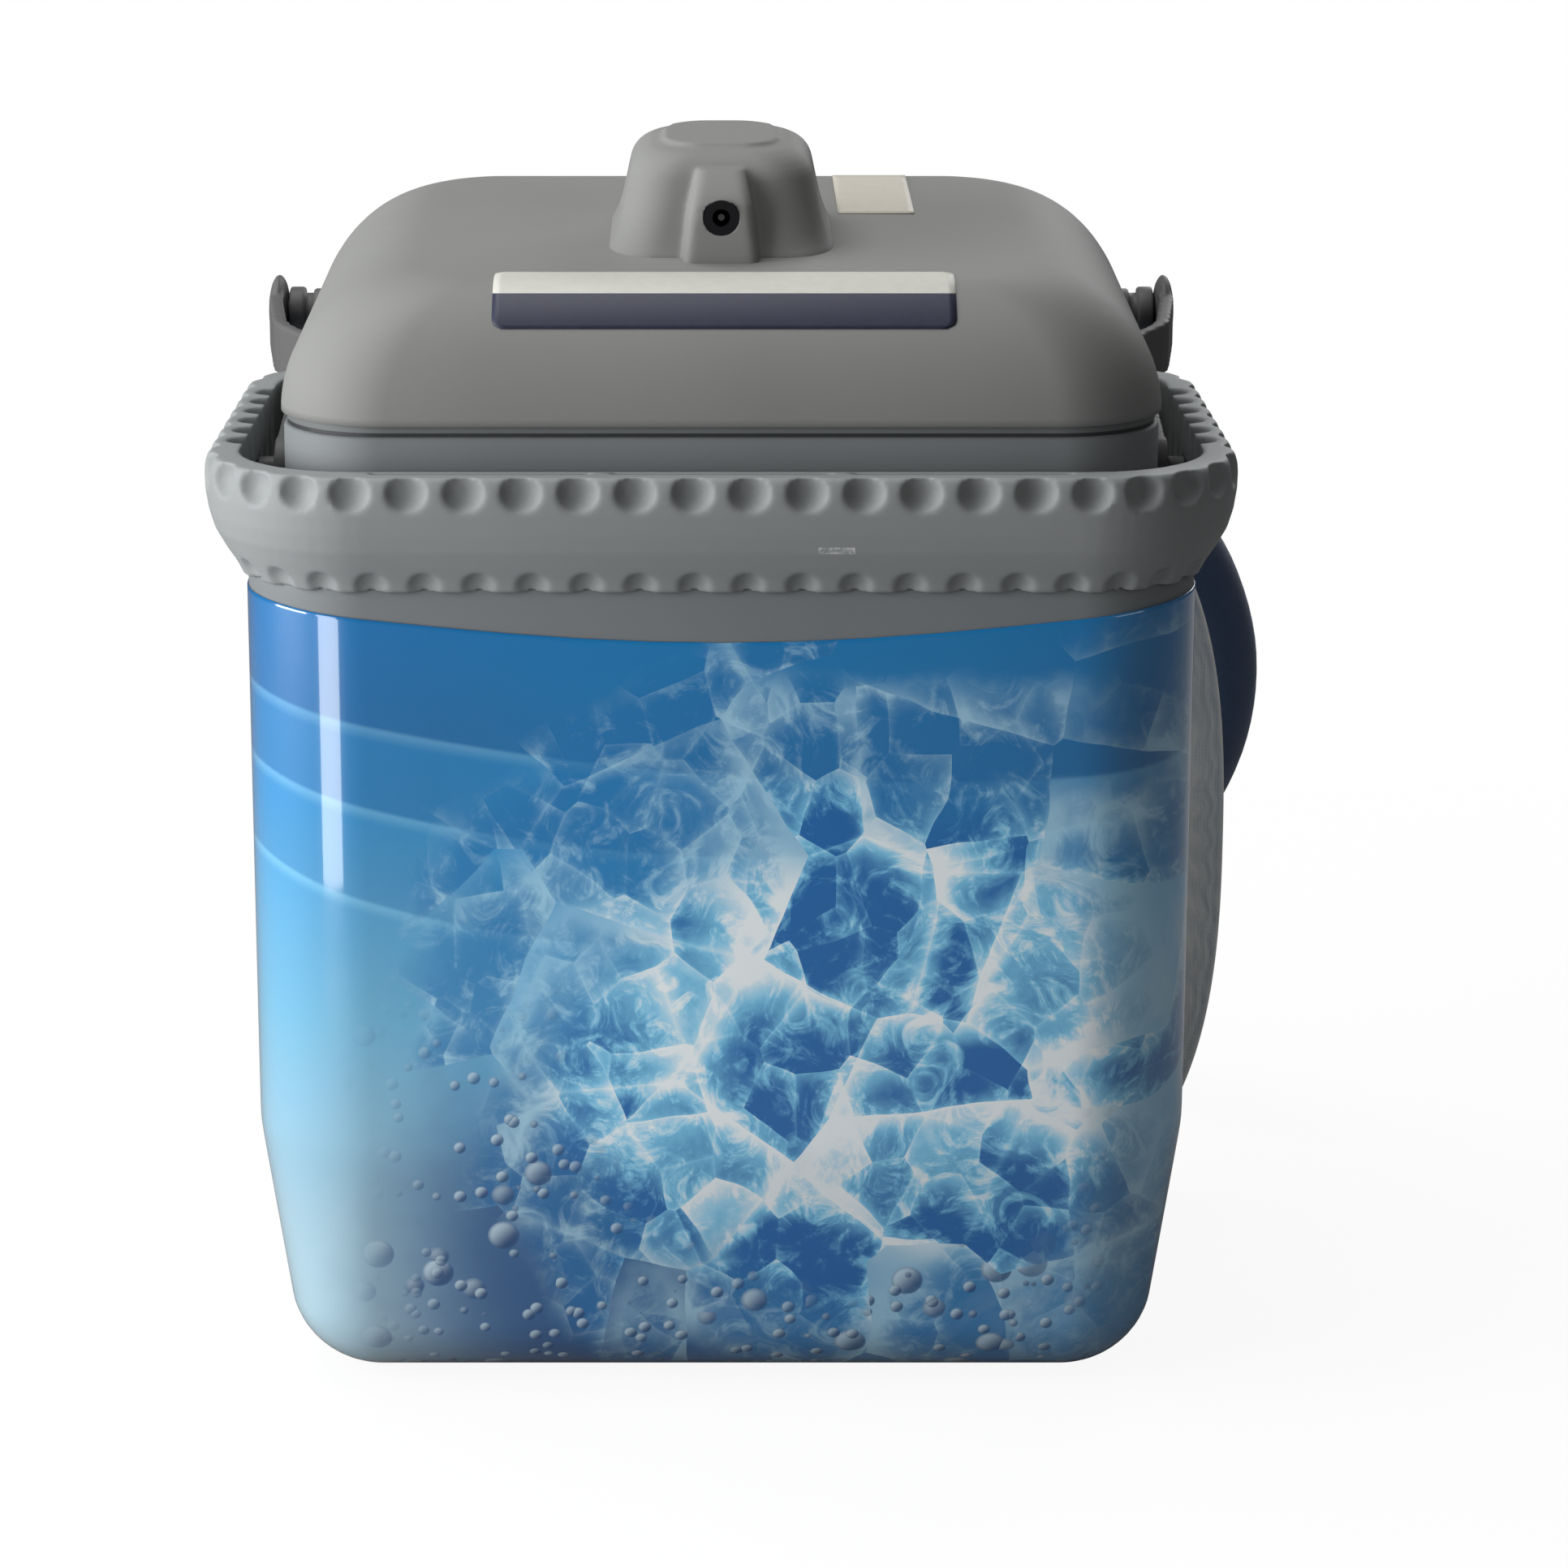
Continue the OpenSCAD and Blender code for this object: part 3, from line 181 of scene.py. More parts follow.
skinRings(bm, tubeRings(hosePath, [hoseSet["radius"]] * len(hosePath), hoseSet["sides"],
                        hoseOut, Vector((0, -1, 0))))
hose = newMesh("hose", bm)
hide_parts("hose_run")
tub(175, 157, 219)
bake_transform(hose)
print("hose made:", round(hoseLength, 3), "m")


# sums and blends of shader sockets
class Wire:
    # one output socket that can stand in a sum
    def __init__(self, finish, socket):
        self.finish, self.socket = finish, socket

    def isColour(self):
        return self.socket.type in ("RGBA", "VECTOR")

    def work(self, what, other, flipped=False):
        coloured = self.isColour() or (isinstance(other, Wire) and other.isColour())
        kind = "ShaderNodeVectorMath" if coloured else "ShaderNodeMath"
        if coloured and isinstance(other, (int, float)):
            if what == "MULTIPLY":
                return self.finish.node(kind, {"operation": "SCALE"}, {0: self, "Scale": other})
            other = (other,) * 3
        first, second = (other, self) if flipped else (self, other)
        return self.finish.node(kind, {"operation": what}, {0: first, 1: second})

    def __add__(self, other): return self.work("ADD", other)
    def __radd__(self, other): return self.work("ADD", other, True)
    def __sub__(self, other): return self.work("SUBTRACT", other)
    def __rsub__(self, other): return self.work("SUBTRACT", other, True)
    def __mul__(self, other): return self.work("MULTIPLY", other)
    def __rmul__(self, other): return self.work("MULTIPLY", other)
    def __pow__(self, other): return self.work("POWER", other)
    def __gt__(self, other): return self.work("GREATER_THAN", other)
    def __lt__(self, other): return self.work("LESS_THAN", other)

    def sine(self): return self.finish.node("ShaderNodeMath", {"operation": "SINE"}, {0: self})
    def size(self): return self.finish.node("ShaderNodeMath", {"operation": "ABSOLUTE"}, {0: self})

    def ramp(self, low, high, start=0.0, end=1.0):
        # a smooth step from start at low to end at high
        return self.finish.node("ShaderNodeMapRange", {"interpolation_type": "SMOOTHSTEP"},
                                {0: self, 1: low, 2: high, 3: start, 4: end})

    def parts(self):
        node = self.finish.place("ShaderNodeSeparateXYZ", {}, {0: self})
        return [Wire(self.finish, s) for s in node.outputs]


def blankTree(owner):
    owner.use_nodes = True
    owner.node_tree.nodes.clear()
    return owner.node_tree


class Finish:
    # a material with one Principled shader
    made = {}

    def __init__(self, name, **steady):
        self.material = bpy.data.materials.new(name)
        self.tree = blankTree(self.material)
        out = self.tree.nodes.new("ShaderNodeOutputMaterial")
        self.shader = self.tree.nodes.new("ShaderNodeBsdfPrincipled")
        self.tree.links.new(self.shader.outputs[0], out.inputs[0])
        for socket, value in steady.items():
            self.give(self.shader.inputs[socket.replace("_", " ")], value)
        self.where = self.node("ShaderNodeTexCoord", {}, {}, out="Object")
        Finish.made[name] = self

    def give(self, socket, value):
        if isinstance(value, Wire):
            self.tree.links.new(value.socket, socket)
        elif socket.type == "RGBA" and len(value) == 3:
            socket.default_value = (*value, 1)
        else:
            socket.default_value = value

    def place(self, kind, settings, values):
        node = self.tree.nodes.new(kind)
        for key, value in settings.items():
            if key == "stops":
                ramp = node.color_ramp
                while len(ramp.elements) < len(value):
                    ramp.elements.new(0.5)
                for element, (spot, colour) in zip(ramp.elements, value):
                    element.position, element.color = spot, (*colour, 1)
            else:
                setattr(node, key, value)
        for key, value in values.items():
            self.give(node.inputs[key], value)
        return node

    def node(self, kind, settings, values, out=0):
        return Wire(self, self.place(kind, settings, values).outputs[out])

    def grain(self, scale, detail=2.0, rough=0.5, at=None, warp=0.0):
        return self.node("ShaderNodeTexNoise", {}, {"Vector": at or self.where, "Scale": scale, "Detail": detail,
                                                    "Roughness": rough, "Distortion": warp})

    def blend(self, share, a, b):
        node = self.place("ShaderNodeMix", {"data_type": "RGBA", "clamp_factor": True}, {0: share})
        self.give(node.inputs[6], a)
        self.give(node.inputs[7], b)
        return Wire(self, node.outputs[2])

    def relief(self, height, strength, distance, normal=None):
        values = {"Height": height, "Strength": strength, "Distance": distance}
        if normal is not None:
            values["Normal"] = normal
        return self.node("ShaderNodeBump", {}, values)

    def set(self, **varying):
        for socket, value in varying.items():
            self.give(self.shader.inputs[socket.replace("_", " ")], value)
        return self.material


def linear(r, g, b):
    # screen values from 0 to 255, to the linear values that Blender works in
    shares = (c / 255 for c in (r, g, b))
    return tuple(c / 12.92 if c <= 0.04045 else ((c + 0.055) / 1.055) ** 2.4 for c in shares)


def times(colour, by):
    return tuple(min(1, c * by) for c in colour)


def mouldedPlastic(name, colour, rough=0.5, grainScale=1600, grainDepth=0.00004, wear=0.05):
    # satin moulded plastic: fine spark texture, faint cloudiness and a few rub marks
    f = Finish(name, Specular_IOR_Level=0.14)
    cloud = f.grain(9, 3)
    fine = f.grain(grainScale, 2, 0.6)
    rubs = f.grain(60, 4, 0.65, warp=1.5).ramp(0.60, 0.74)
    pale = tuple(min(1, c * 1.16 + 0.01) for c in colour)
    base = f.blend(cloud.ramp(0.3, 0.7), times(colour, 0.93), colour)
    base = f.blend(rubs * wear, base, pale)
    return f.set(Base_Color=base, Roughness=rough + (cloud - 0.5) * 0.10 - rubs * 0.05,
                 Normal=f.relief(fine, 0.35, grainDepth))


greyPlastic = mouldedPlastic("greyPlastic", linear(117, 121, 123), 0.56)
lidPlastic = mouldedPlastic("lidPlastic", linear(127, 128, 126), 0.60, wear=0.04)
plateGrey = mouldedPlastic("plateGrey", linear(104, 107, 108), 0.5)
handleGrey = mouldedPlastic("handleGrey", linear(92, 92, 92), 0.5)
pinGrey = mouldedPlastic("pinGrey", linear(84, 84, 86), 0.45)
pumpWhite = mouldedPlastic("pumpWhite", linear(226, 228, 229), 0.38, wear=0.0)
darkPlastic = mouldedPlastic("darkPlastic", linear(58, 61, 64), 0.45)
linerWhite = mouldedPlastic("linerWhite", linear(232, 235, 237), 0.28, grainDepth=0.00001, wear=0.0)
buttonGrey = mouldedPlastic("buttonGrey", linear(138, 143, 149), 0.38)
couplingWhite = mouldedPlastic("couplingWhite", linear(224, 226, 228), 0.36)


def foamFinish():
    f = Finish("foamCream")
    cells = f.node("ShaderNodeTexVoronoi", {}, {"Vector": f.where, "Scale": 900})
    return f.set(Base_Color=f.blend(cells, linear(240, 230, 196), linear(222, 208, 168)), Roughness=0.95,
                 Normal=f.relief(cells, 0.4, 0.0003))


def rubberFinish(name, colour, rough=0.75):
    f = Finish(name, Specular_IOR_Level=0.3)
    fine = f.grain(1100, 3, 0.6)
    cloud = f.grain(30, 2)
    return f.set(Base_Color=f.blend(cloud, times(colour, 0.85), times(colour, 1.15)),
                 Roughness=rough - cloud * 0.1, Normal=f.relief(fine, 0.4, 0.00008))


def metalFinish(name, colour, rough, lines):
    f = Finish(name, Metallic=1.0)
    x, y, z = f.where.parts()
    along = f.node("ShaderNodeCombineXYZ", {}, {0: x * 40, 1: y * 40, 2: z * lines})
    brushed = f.grain(60, 3, 0.6, at=along)
    return f.set(Base_Color=f.blend(brushed, times(colour, 0.86), colour),
                 Roughness=rough + brushed * 0.12, Normal=f.relief(brushed, 0.15, 0.00005))


def boardFinish():
    f = Finish("boardGreen")
    x, y, z = f.where.parts()
    tracks = ((x * 1400).sine() > 0.55) * (f.grain(300, 1) > 0.45)
    return f.set(Base_Color=f.blend(tracks * 0.6, linear(22, 84, 52), linear(70, 128, 84)),
                 Roughness=0.35 + tracks * 0.1)


def hoseFinish():
    # closed-cell foam sleeve with a fine skin
    f = Finish("hoseNavy", Specular_IOR_Level=0.28, Sheen_Weight=0.25, Sheen_Roughness=0.5)
    cells = f.node("ShaderNodeTexVoronoi", {}, {"Vector": f.where, "Scale": 1300})
    lumps = f.grain(55, 3, 0.55)
    worn = f.grain(18, 4, 0.6).ramp(0.45, 0.75)
    deep, light = linear(46, 64, 92), linear(61, 80, 110)
    colour = f.blend(cells * 0.5 + lumps * 0.4, light, deep)
    return f.set(Base_Color=f.blend(worn * 0.35, colour, linear(56, 74, 110)), Roughness=0.78 - lumps * 0.1,
                 Normal=f.relief(lumps, 0.25, 0.0012, f.relief(cells, 0.35, 0.00025)))


def clothFinish():
    # white non-woven cloth with a woven crosshatch, faint creases and grey shading in the hollows
    f = Finish("padWhite", Sheen_Weight=0.35, Sheen_Roughness=0.45, Specular_IOR_Level=0.2)
    x, y, z = f.where.parts()
    weave = (x * 5200).sine() * 0.5 + (z * 5200).sine() * 0.5
    fuzz = f.grain(700, 3, 0.6)
    cloud = f.grain(24, 3)
    creases = f.grain(45, 3, 0.6, warp=2.0)
    bright = cloud.ramp(0.3, 0.75) * 0.6 + fuzz * 0.25
    return f.set(Base_Color=f.blend(bright, linear(226, 225, 221), linear(246, 245, 242)),
                 Roughness=0.88 - fuzz * 0.08,
                 Normal=f.relief(creases, 0.5, 0.0012, f.relief(weave + fuzz, 0.3, 0.00012)))


foamCream = foamFinish()
blackRubber = rubberFinish("blackRubber", linear(40, 41, 43))
elbowRubber = rubberFinish("elbowRubber", linear(36, 44, 60), 0.62)
gasketRubber = rubberFinish("gasketRubber", linear(48, 49, 51), 0.6)
brushedSteel = metalFinish("brushedSteel", linear(196, 197, 200), 0.28, 400)
chromeBright = metalFinish("chromeBright", linear(226, 227, 230), 0.08, 40)
jackBlack = mouldedPlastic("jackBlack", linear(30, 30, 32), 0.25, grainDepth=0.00001)
boardGreen = boardFinish()
hoseNavy = hoseFinish()
padWhite = clothFinish()
print("finishes made:", len(Finish.made))

# the CAD nodes that stay in view as they are
finishOf = {
    "insulation_foam": foamCream, "lid_foam": foamCream, "inner_liner": linerWhite,
    "foot_1": blackRubber, "foot_2": blackRubber, "foot_3": blackRubber, "foot_4": blackRubber,
    "pivot_pin_left": pinGrey, "pivot_pin_right": pinGrey, "grip_core": pinGrey, "lid_base": plateGrey,
    "lid_gasket": gasketRubber, "motor": brushedSteel, "motor_bracket": darkPlastic,
    "circuit_board": boardGreen, "jack_body": jackBlack, "jack_pin": chromeBright, "jack_nut": brushedSteel,
    "stem_tube": pumpWhite, "volute": pumpWhite, "riser_tube": pumpWhite, "outlet_tube": pumpWhite,
    "strainer": darkPlastic, "drive_shaft": brushedSteel, "impeller": darkPlastic,
}


# floor and light
stageSet = {
    "seenShade": 0.96, "bounceShade": 0.26,  # what the camera sees, and what lights the object from below
    "glowNear": 0.92, "glowFar": 1.0,  # share of the floor's look that is its own white, near the object and far off
    "near": 0.35, "far": 1.1,  # metres from the middle
    "floorHalf": 30, "floorDrop": 0.0003,
    "ambient": 0.115,
    "lamps": [
        # name, place, aims at, width, height, watts
        ("pane", (-0.41, -0.50, 0.33), (-0.12, -0.10, 0.33), 0.17, 0.60, 1.6),
        ("side", (-1.44, -0.46, 0.50), (0.0, -0.03, 0.22), 0.9, 0.9, 27.0),
        ("top", (-0.35, 0.10, 1.45), (0.0, -0.03, 0.25), 0.9, 0.9, 13.5),
        ("fill", (1.3, -1.1, 0.9), (0.0, -0.03, 0.2), 0.8, 0.8, 2.2),
        ("rear", (0.7, 1.3, 1.0), (0.0, 0.0, 0.25), 0.8, 0.8, 8.0),
    ],
}


def addNode(tree, kind, inputs, **settings):
    # a node with its settings, each input given a value or another node's socket
    node = tree.nodes.new(kind)
    for key, value in settings.items():
        setattr(node, key, value)
    for key, value in inputs.items():
        if isinstance(value, bpy.types.NodeSocket):
            tree.links.new(value, node.inputs[key])
        else:
            node.inputs[key].default_value = value
    return node


def floorFinish(s):
    # shaded by the lamps near the object, and its own white farther off
    material = bpy.data.materials.new("floorWhite")
    tree = blankTree(material)
    seen = addNode(tree, "ShaderNodeLightPath", {}).outputs["Is Camera Ray"]
    shade = addNode(tree, "ShaderNodeMapRange", {0: seen, 3: s["bounceShade"], 4: s["seenShade"]})
    lit = addNode(tree, "ShaderNodeBsdfDiffuse", {"Color": shade.outputs[0]})
    glow = addNode(tree, "ShaderNodeEmission", {"Color": (1, 1, 1, 1)})
    place = addNode(tree, "ShaderNodeTexCoord", {}).outputs["Object"]
    away = addNode(tree, "ShaderNodeVectorMath", {0: place}, operation="LENGTH").outputs["Value"]
    fade = addNode(tree, "ShaderNodeMapRange", interpolation_type="SMOOTHSTEP",
                   inputs={0: away, 1: s["near"], 2: s["far"], 3: s["glowNear"], 4: s["glowFar"]})
    share = addNode(tree, "ShaderNodeMath", {0: seen, 1: fade.outputs[0]}, operation="MULTIPLY")
    mixed = addNode(tree, "ShaderNodeMixShader", {0: share.outputs[0], 1: lit.outputs[0], 2: glow.outputs[0]})
    addNode(tree, "ShaderNodeOutputMaterial", {0: mixed.outputs[0]})
    return material


def buildStage(s):
    bm = bmesh.new()
    bmesh.ops.create_grid(bm, x_segments=1, y_segments=1, size=s["floorHalf"])
    bmesh.ops.translate(bm, vec=(0, 0, -s["floorDrop"]), verts=bm.verts)
    floor = newMesh("floor", bm, smooth=False)
    floor.data.materials.append(floorFinish(s))

    # white to the camera, dim as a light
    scene.world = bpy.data.worlds.new("studio")
    tree = blankTree(scene.world)
    rays = addNode(tree, "ShaderNodeLightPath", {}).outputs
    seen = addNode(tree, "ShaderNodeMath", {0: rays["Is Camera Ray"], 1: rays["Is Transmission Ray"]},
                   operation="MAXIMUM")
    level = addNode(tree, "ShaderNodeMapRange", {0: seen.outputs[0], 3: s["ambient"], 4: 1.0})
    sky = addNode(tree, "ShaderNodeBackground", {"Strength": level.outputs[0]})
    addNode(tree, "ShaderNodeOutputWorld", {0: sky.outputs[0]})

    for name, place, aim, width, height, watts in s["lamps"]:
        data = bpy.data.lights.new(name, "AREA")
        data.shape, data.size, data.size_y, data.energy = "RECTANGLE", width, height, watts
        lamp = bpy.data.objects.new(name, data)
        lamp.location = place
        lamp.rotation_euler = (Vector(aim) - Vector(place)).to_track_quat("-Z", "Y").to_euler()
        lamp.visible_camera = False
        scene.collection.objects.link(lamp)


buildStage(stageSet)
print("floor and lamps set")


# tub
def planRing(halfW, halfD, radius, z, corner=14, straight=6):
    # a rounded rectangle of points in the tub's own frame, counted from the right side round
    quarters = ((1, 1), (-1, 1), (-1, -1), (1, -1))

    def onArc(q, share):
        (sx, sy), a = quarters[q], math.pi / 2 * (q + share)
        return sx * (halfW - radius) + radius * math.cos(a), sy * (halfD - radius) + radius * math.sin(a)

    pts = []
    for q in range(4):
        pts += [onArc(q, k / corner) for k in range(corner + 1)]
        (x0, y0), (x1, y1) = pts[-1], onArc((q + 1) % 4, 0)
        pts += [(x0 + (x1 - x0) * t, y0 + (y1 - y0) * t) for t in (k / straight for k in range(1, straight))]
    return [tub(x, y, z(x, y) if callable(z) else z) for x, y in pts]


def planOf(ring):
    # the same points back in millimetres in the tub's own frame
    return [(p.x * 1000, (p.y + rearShift) * 1000) for p in ring]


tubSet = {
    "halfW": 150, "halfD": 95, "corner": 39, "base": 2, "shoulder": 272, "crease": 86,
    "taper": math.tan(math.radians(8.5)), "round": 24, "wall": 2.5,
    "creaseLevels": [34, 44, 54, 64, 72, 78, 82, 85, 88, 92, 98],
    "neckW": 137.5, "neckD": 90, "neckCorner": 32, "neckTop": 317.5,
}


def tubInset(z):
    # how far the wall is inside the full width, z above the base
    t = tubSet
    low = t["round"]
    inset = t["taper"] * softOver(t["crease"] - t["base"] - z, 3.0)
    if z < low:
        inset += low - math.sqrt(max(0, low * low - (low - z) ** 2))
    return inset


def softOver(v, blur):
    # 0 below, v above, with a soft turn between
    return (v + math.sqrt(v * v + blur * blur)) / 2 if v > -6 * blur else 0.0


def tubRing(z, out=0.0, straight=6):
    t, inset = tubSet, tubInset(z) - out
    return planRing(t["halfW"] - inset, t["halfD"] - inset, max(4, t["corner"] - inset), t["base"] + z,
                    straight=straight)


def grownRing(w, d, r, out, z, straight=6):
    return planRing(w + out, d + out, r + out, z, straight=straight)


def foot(t, steps, first=0):
    # levels up the rounded foot of the tub, close together at the bottom
    return [t["round"] * (1 - math.cos(math.pi / 2 * k / steps)) for k in range(first, steps + 1)]


def buildTub(t):
    full = t["halfW"], t["halfD"], t["corner"]
    neck = t["neckW"], t["neckD"], t["neckCorner"]
    top, wall = t["shoulder"], t["wall"]
    levels = foot(t, 12) + t["creaseLevels"] + [110, 140, 175, 210, 245, 264, top - t["base"] - 1.6]
    rings = [tubRing(z) for z in levels]
    rings += [grownRing(*full, -0.5, top - 0.5), grownRing(*full, -1.8, top)]
    rings += [grownRing(*neck, -wall, z) for z in (top, top - wall)]
    rings += [tubRing(z, -wall) for z in (top - t["base"] - wall, 200, 100, 40, 10)]
    bm = bmesh.new()
    skinRings(bm, rings)
    return fitted(newMesh("tubShell", bm), greyPlastic, "outer_shell", "base")


def buildNeck(t):
    # the collar that the lid sits on, with soft edges and a small root at the shoulder
    root, top, wall = t["shoulder"], t["neckTop"], t["wall"]
    steps = [(1.2, root), (0.35, root + 0.35), (0, root + 1.2), (0, 285), (0, 300), (0, top - 1.2),
             (-0.35, top - 0.35), (-1.2, top), (-wall, top), (-wall, root)]
    bm = bmesh.new()
    skinRings(bm, [grownRing(t["neckW"], t["neckD"], t["neckCorner"], out, z) for out, z in steps], closed=True)
    return fitted(newMesh("neckWall", bm), greyPlastic, "neck_collar", "base")


tubShell = buildTub(tubSet)
neckWall = buildNeck(tubSet)
print("tub made")

# printed film round the tub; its top edge dips in the middle of the front and of the back
filmSet = {
    "outer": 0.52, "inner": 0.06,  # how far its two faces stand off the tub
    "below": 7, "sag": 11, "bow": 1.2,  # its top edge: below the shoulder, lower at the middle, and how fast
    "tall": 0.27,
    # colours up the left and the right side, by height in metres; the left's pale tones are print with painted light
    # from the lit left side laid in
    "left": [(0.0, (172, 200, 212)), (0.06, (154, 188, 204)), (0.13, (104, 168, 200)),
             (0.20, (48, 140, 196)), (0.27, (22, 118, 182))],
    "right": [(0.0, (62, 126, 178)), (0.06, (76, 152, 204)), (0.12, (90, 176, 226)),
              (0.19, (34, 154, 216)), (0.27, (8, 122, 186))],
    # level, lean, bow and depth of each wave
    "waves": [(0.236, 0.26, 0.62, 0.34), (0.212, 0.34, 1.05, 0.26), (0.184, 0.42, 1.5, 0.16)],
    # middle across and up, and how tight it is: the dark pool, the ice and the faint ice round it
    "pool": (-0.040, 0.052, 13, 13), "heart": (0.046, 0.118, 9.6, 11.2), "outerIce": (0.062, 0.122, 7.2, 8.0),
    "beads": [(62, 0.52, (-0.122, -0.095), (0.125, 0.09)), (150, 0.35, (-0.115, -0.080), (0.135, 0.10))],
}


def filmTop(x, s):
    middle = max(0.0, math.cos(math.pi / 2 * min(1, abs(x) / tubSet["halfW"]))) ** s["bow"]
    return tubSet["shoulder"] - s["below"] - s["sag"] * middle


def buildFilm(s, t):
    levels = foot(t, 14, 4) + t["creaseLevels"] + [110, 130, 150, 175, 200, 225, 245]
    faces = []
    for out in (s["outer"], s["inner"]):
        face = [tubRing(z, out, straight=10) for z in levels]
        for drop in (1.2, 0.0):
            face.append(grownRing(t["halfW"], t["halfD"], t["corner"], out,
                                  lambda x, y, drop=drop: filmTop(x, s) - drop, straight=10))
        faces.append(face)
    bm = bmesh.new()
    skinRings(bm, faces[0] + faces[1][::-1], closed=True)
    return fitted(newMesh("filmWrap", bm), filmFinish(s), "graphic_film", "base")


def filmFinish(s):
    # a plain print of blue waves, frost crystals and water beads under a clear gloss layer, paler on its left with
    # painted light
    f = Finish("filmPrint", Coat_Weight=1.0, Coat_Roughness=0.05, Coat_IOR=1.7, Specular_IOR_Level=0.4)
    x, y, z = f.where.parts()
    cloud = f.grain(11, 4, 0.55, warp=0.6)
    slow = f.grain(5, 2)

    def column(stops):
        ramp = [(level / s["tall"], linear(*colour)) for level, colour in stops]
        return f.node("ShaderNodeValToRGB", {"stops": ramp}, {0: z * (1 / s["tall"])})

    # painted light: towards the lit left side the print turns to the left column's pale tones, partly its own print
    # and partly lamp light painted in
    toLitLeft = (x + (cloud - 0.5) * 0.05).ramp(-0.030, -0.118)
    leftPrintAndLight, rightSide = column(s["left"]), column(s["right"])
    colour = f.blend(toLitLeft, rightSide, leftPrintAndLight)

    # a pale drift over the right half
    smoke = (f.grain(9, 5, 0.62, warp=2.2).ramp(0.46, 0.70)) * x.ramp(0.03, 0.11) * z.ramp(0.255, 0.20)
    colour = f.blend(smoke * 0.62, colour, linear(176, 205, 218))

    # sweeping waves along the top, each darker above its edge and brighter along it
    across = x + 0.15
    for level, lean, bow, depth in s["waves"]:
        edge = z - level + across * lean - across * across * bow
        above = edge.ramp(-0.0008, 0.0012) * edge.ramp(0.085, 0.0)
        colour = f.blend(above * depth, colour, linear(8, 62, 122))
        rim = edge.size().ramp(0.0045, 0.0) * edge.ramp(0.0012, -0.0004)
        colour = f.blend(rim * 0.30, colour, linear(150, 214, 240))

    def apart(atX, atZ, timesX, timesZ):
        # squared distance from a point of the front, stretched
        return ((x - atX) * timesX) ** 2.0 + ((z - atZ) * timesZ) ** 2.0

    # the dark pool at the lower middle
    pool = f.node("ShaderNodeMath", {"operation": "SQRT"}, {0: apart(*s["pool"])})
    pool = (pool + (cloud - 0.5) * 0.9).ramp(1.25, 0.40)
    colour = f.blend(pool * 0.80, colour, linear(10, 68, 128))

    # ice: overlapping facets, each lit across its own face, with thin bright edges and fine cracks
    drift = f.node("ShaderNodeTexNoise", {}, {"Vector": f.where, "Scale": 26, "Detail": 2}, out=1)
    bent = f.where + (drift - 0.5) * 0.008

    def facets(scale, squash, soft):
        flat = f.node("ShaderNodeVectorMath", {"operation": "MULTIPLY"}, {0: bent, 1: squash})
        cell = f.place("ShaderNodeTexVoronoi", {}, {"Vector": flat, "Scale": scale})
        pick = Wire(f, cell.outputs["Color"]).parts()
        off = (flat * scale - Wire(f, cell.outputs["Position"]) * scale).parts()
        lit = off[0] * (pick[0] - 0.5) * 3.2 + off[2] * (pick[1] - 0.35) * 3.2 + pick[2]
        edge = f.node("ShaderNodeTexVoronoi", {"feature": "DISTANCE_TO_EDGE"}, {"Vector": flat, "Scale": scale})
        return lit, edge.ramp(soft, 0.0), edge.ramp(soft * 4.5, 0.0)

    big, bigLine, bigGlow = facets(17, (1.0, 0.4, 1.15), 0.030)
    small, smallLine, smallGlow = facets(46, (1.1, 0.4, 0.9), 0.045)
    veins = f.grain(64, 5, 0.66, warp=2.4)
    frosty = f.grain(300, 3, 0.6)
    milk = (big * 0.46 + small * 0.26 + veins.ramp(0.44, 0.70) * 0.34 + (frosty - 0.5) * 0.18
            + bigGlow * 0.26 + smallGlow * 0.12 + bigLine * 0.10 + smallLine * 0.06 - 0.10)
    heart = apart(*s["heart"]) + (cloud - 0.5) * 1.1 + (big - 0.5) * 0.30
    outer = apart(*s["outerIce"]) + (cloud - 0.5) * 1.2 + (big - 0.5) * 0.5
    spread = heart.ramp(1.05, 0.60)
    ice = f.blend(milk.ramp(0.02, 0.58), linear(4, 100, 172), linear(132, 210, 244))
    ice = f.blend(milk.ramp(0.40, 0.90), ice, linear(244, 250, 251))
    faint = f.blend(milk.ramp(0.10, 0.95), linear(20, 114, 176), linear(186, 228, 244))
    colour = f.blend(outer.ramp(1.25, 0.75) * 0.68, colour, faint)
    colour = f.blend(spread * 0.96, colour, ice)

    # water beads, dark at the foot and bright at the upper left
    def beads(colour, scale, keep, low, high):
        cell = f.place("ShaderNodeTexVoronoi", {}, {"Vector": f.where, "Scale": scale})
        away = Wire(f, cell.outputs["Distance"])
        lit = (f.node("ShaderNodeVectorMath", {"operation": "SCALE"}, {0: f.where, "Scale": scale})
               - Wire(f, cell.outputs["Position"]) * scale).parts()
        chance = Wire(f, cell.outputs["Color"]).parts()[1]
        drop = away.ramp(0.34, 0.30) * (chance > keep) * low * high
        shine = (lit[2] - lit[0]).ramp(-0.30, 0.42)
        tone = f.blend(shine, linear(22, 66, 116), linear(206, 231, 243))
        tone = f.blend(away.ramp(0.24, 0.32) * 0.55, tone, linear(34, 88, 140))
        return f.blend(drop * 0.85, colour, tone)

    clear = z.ramp(0.150, 0.095) * (1.0 - spread)
    for scale, keep, fromLeft, fromRight in s["beads"]:
        colour = beads(colour, scale, keep, clear, x.ramp(*fromLeft) * x.ramp(*fromRight))
    colour = f.blend((slow - 0.5).ramp(-0.2, 0.3) * 0.10, colour, linear(14, 70, 128))
    peel = f.grain(420, 2)
    waves = f.grain(14, 2)
    return f.set(Base_Color=colour, Roughness=0.20 + peel * 0.06,
                 Normal=f.relief(waves, 0.25, 0.0012, f.relief(peel, 0.12, 0.00006)))


filmWrap = buildFilm(filmSet, tubSet)
print("film made")


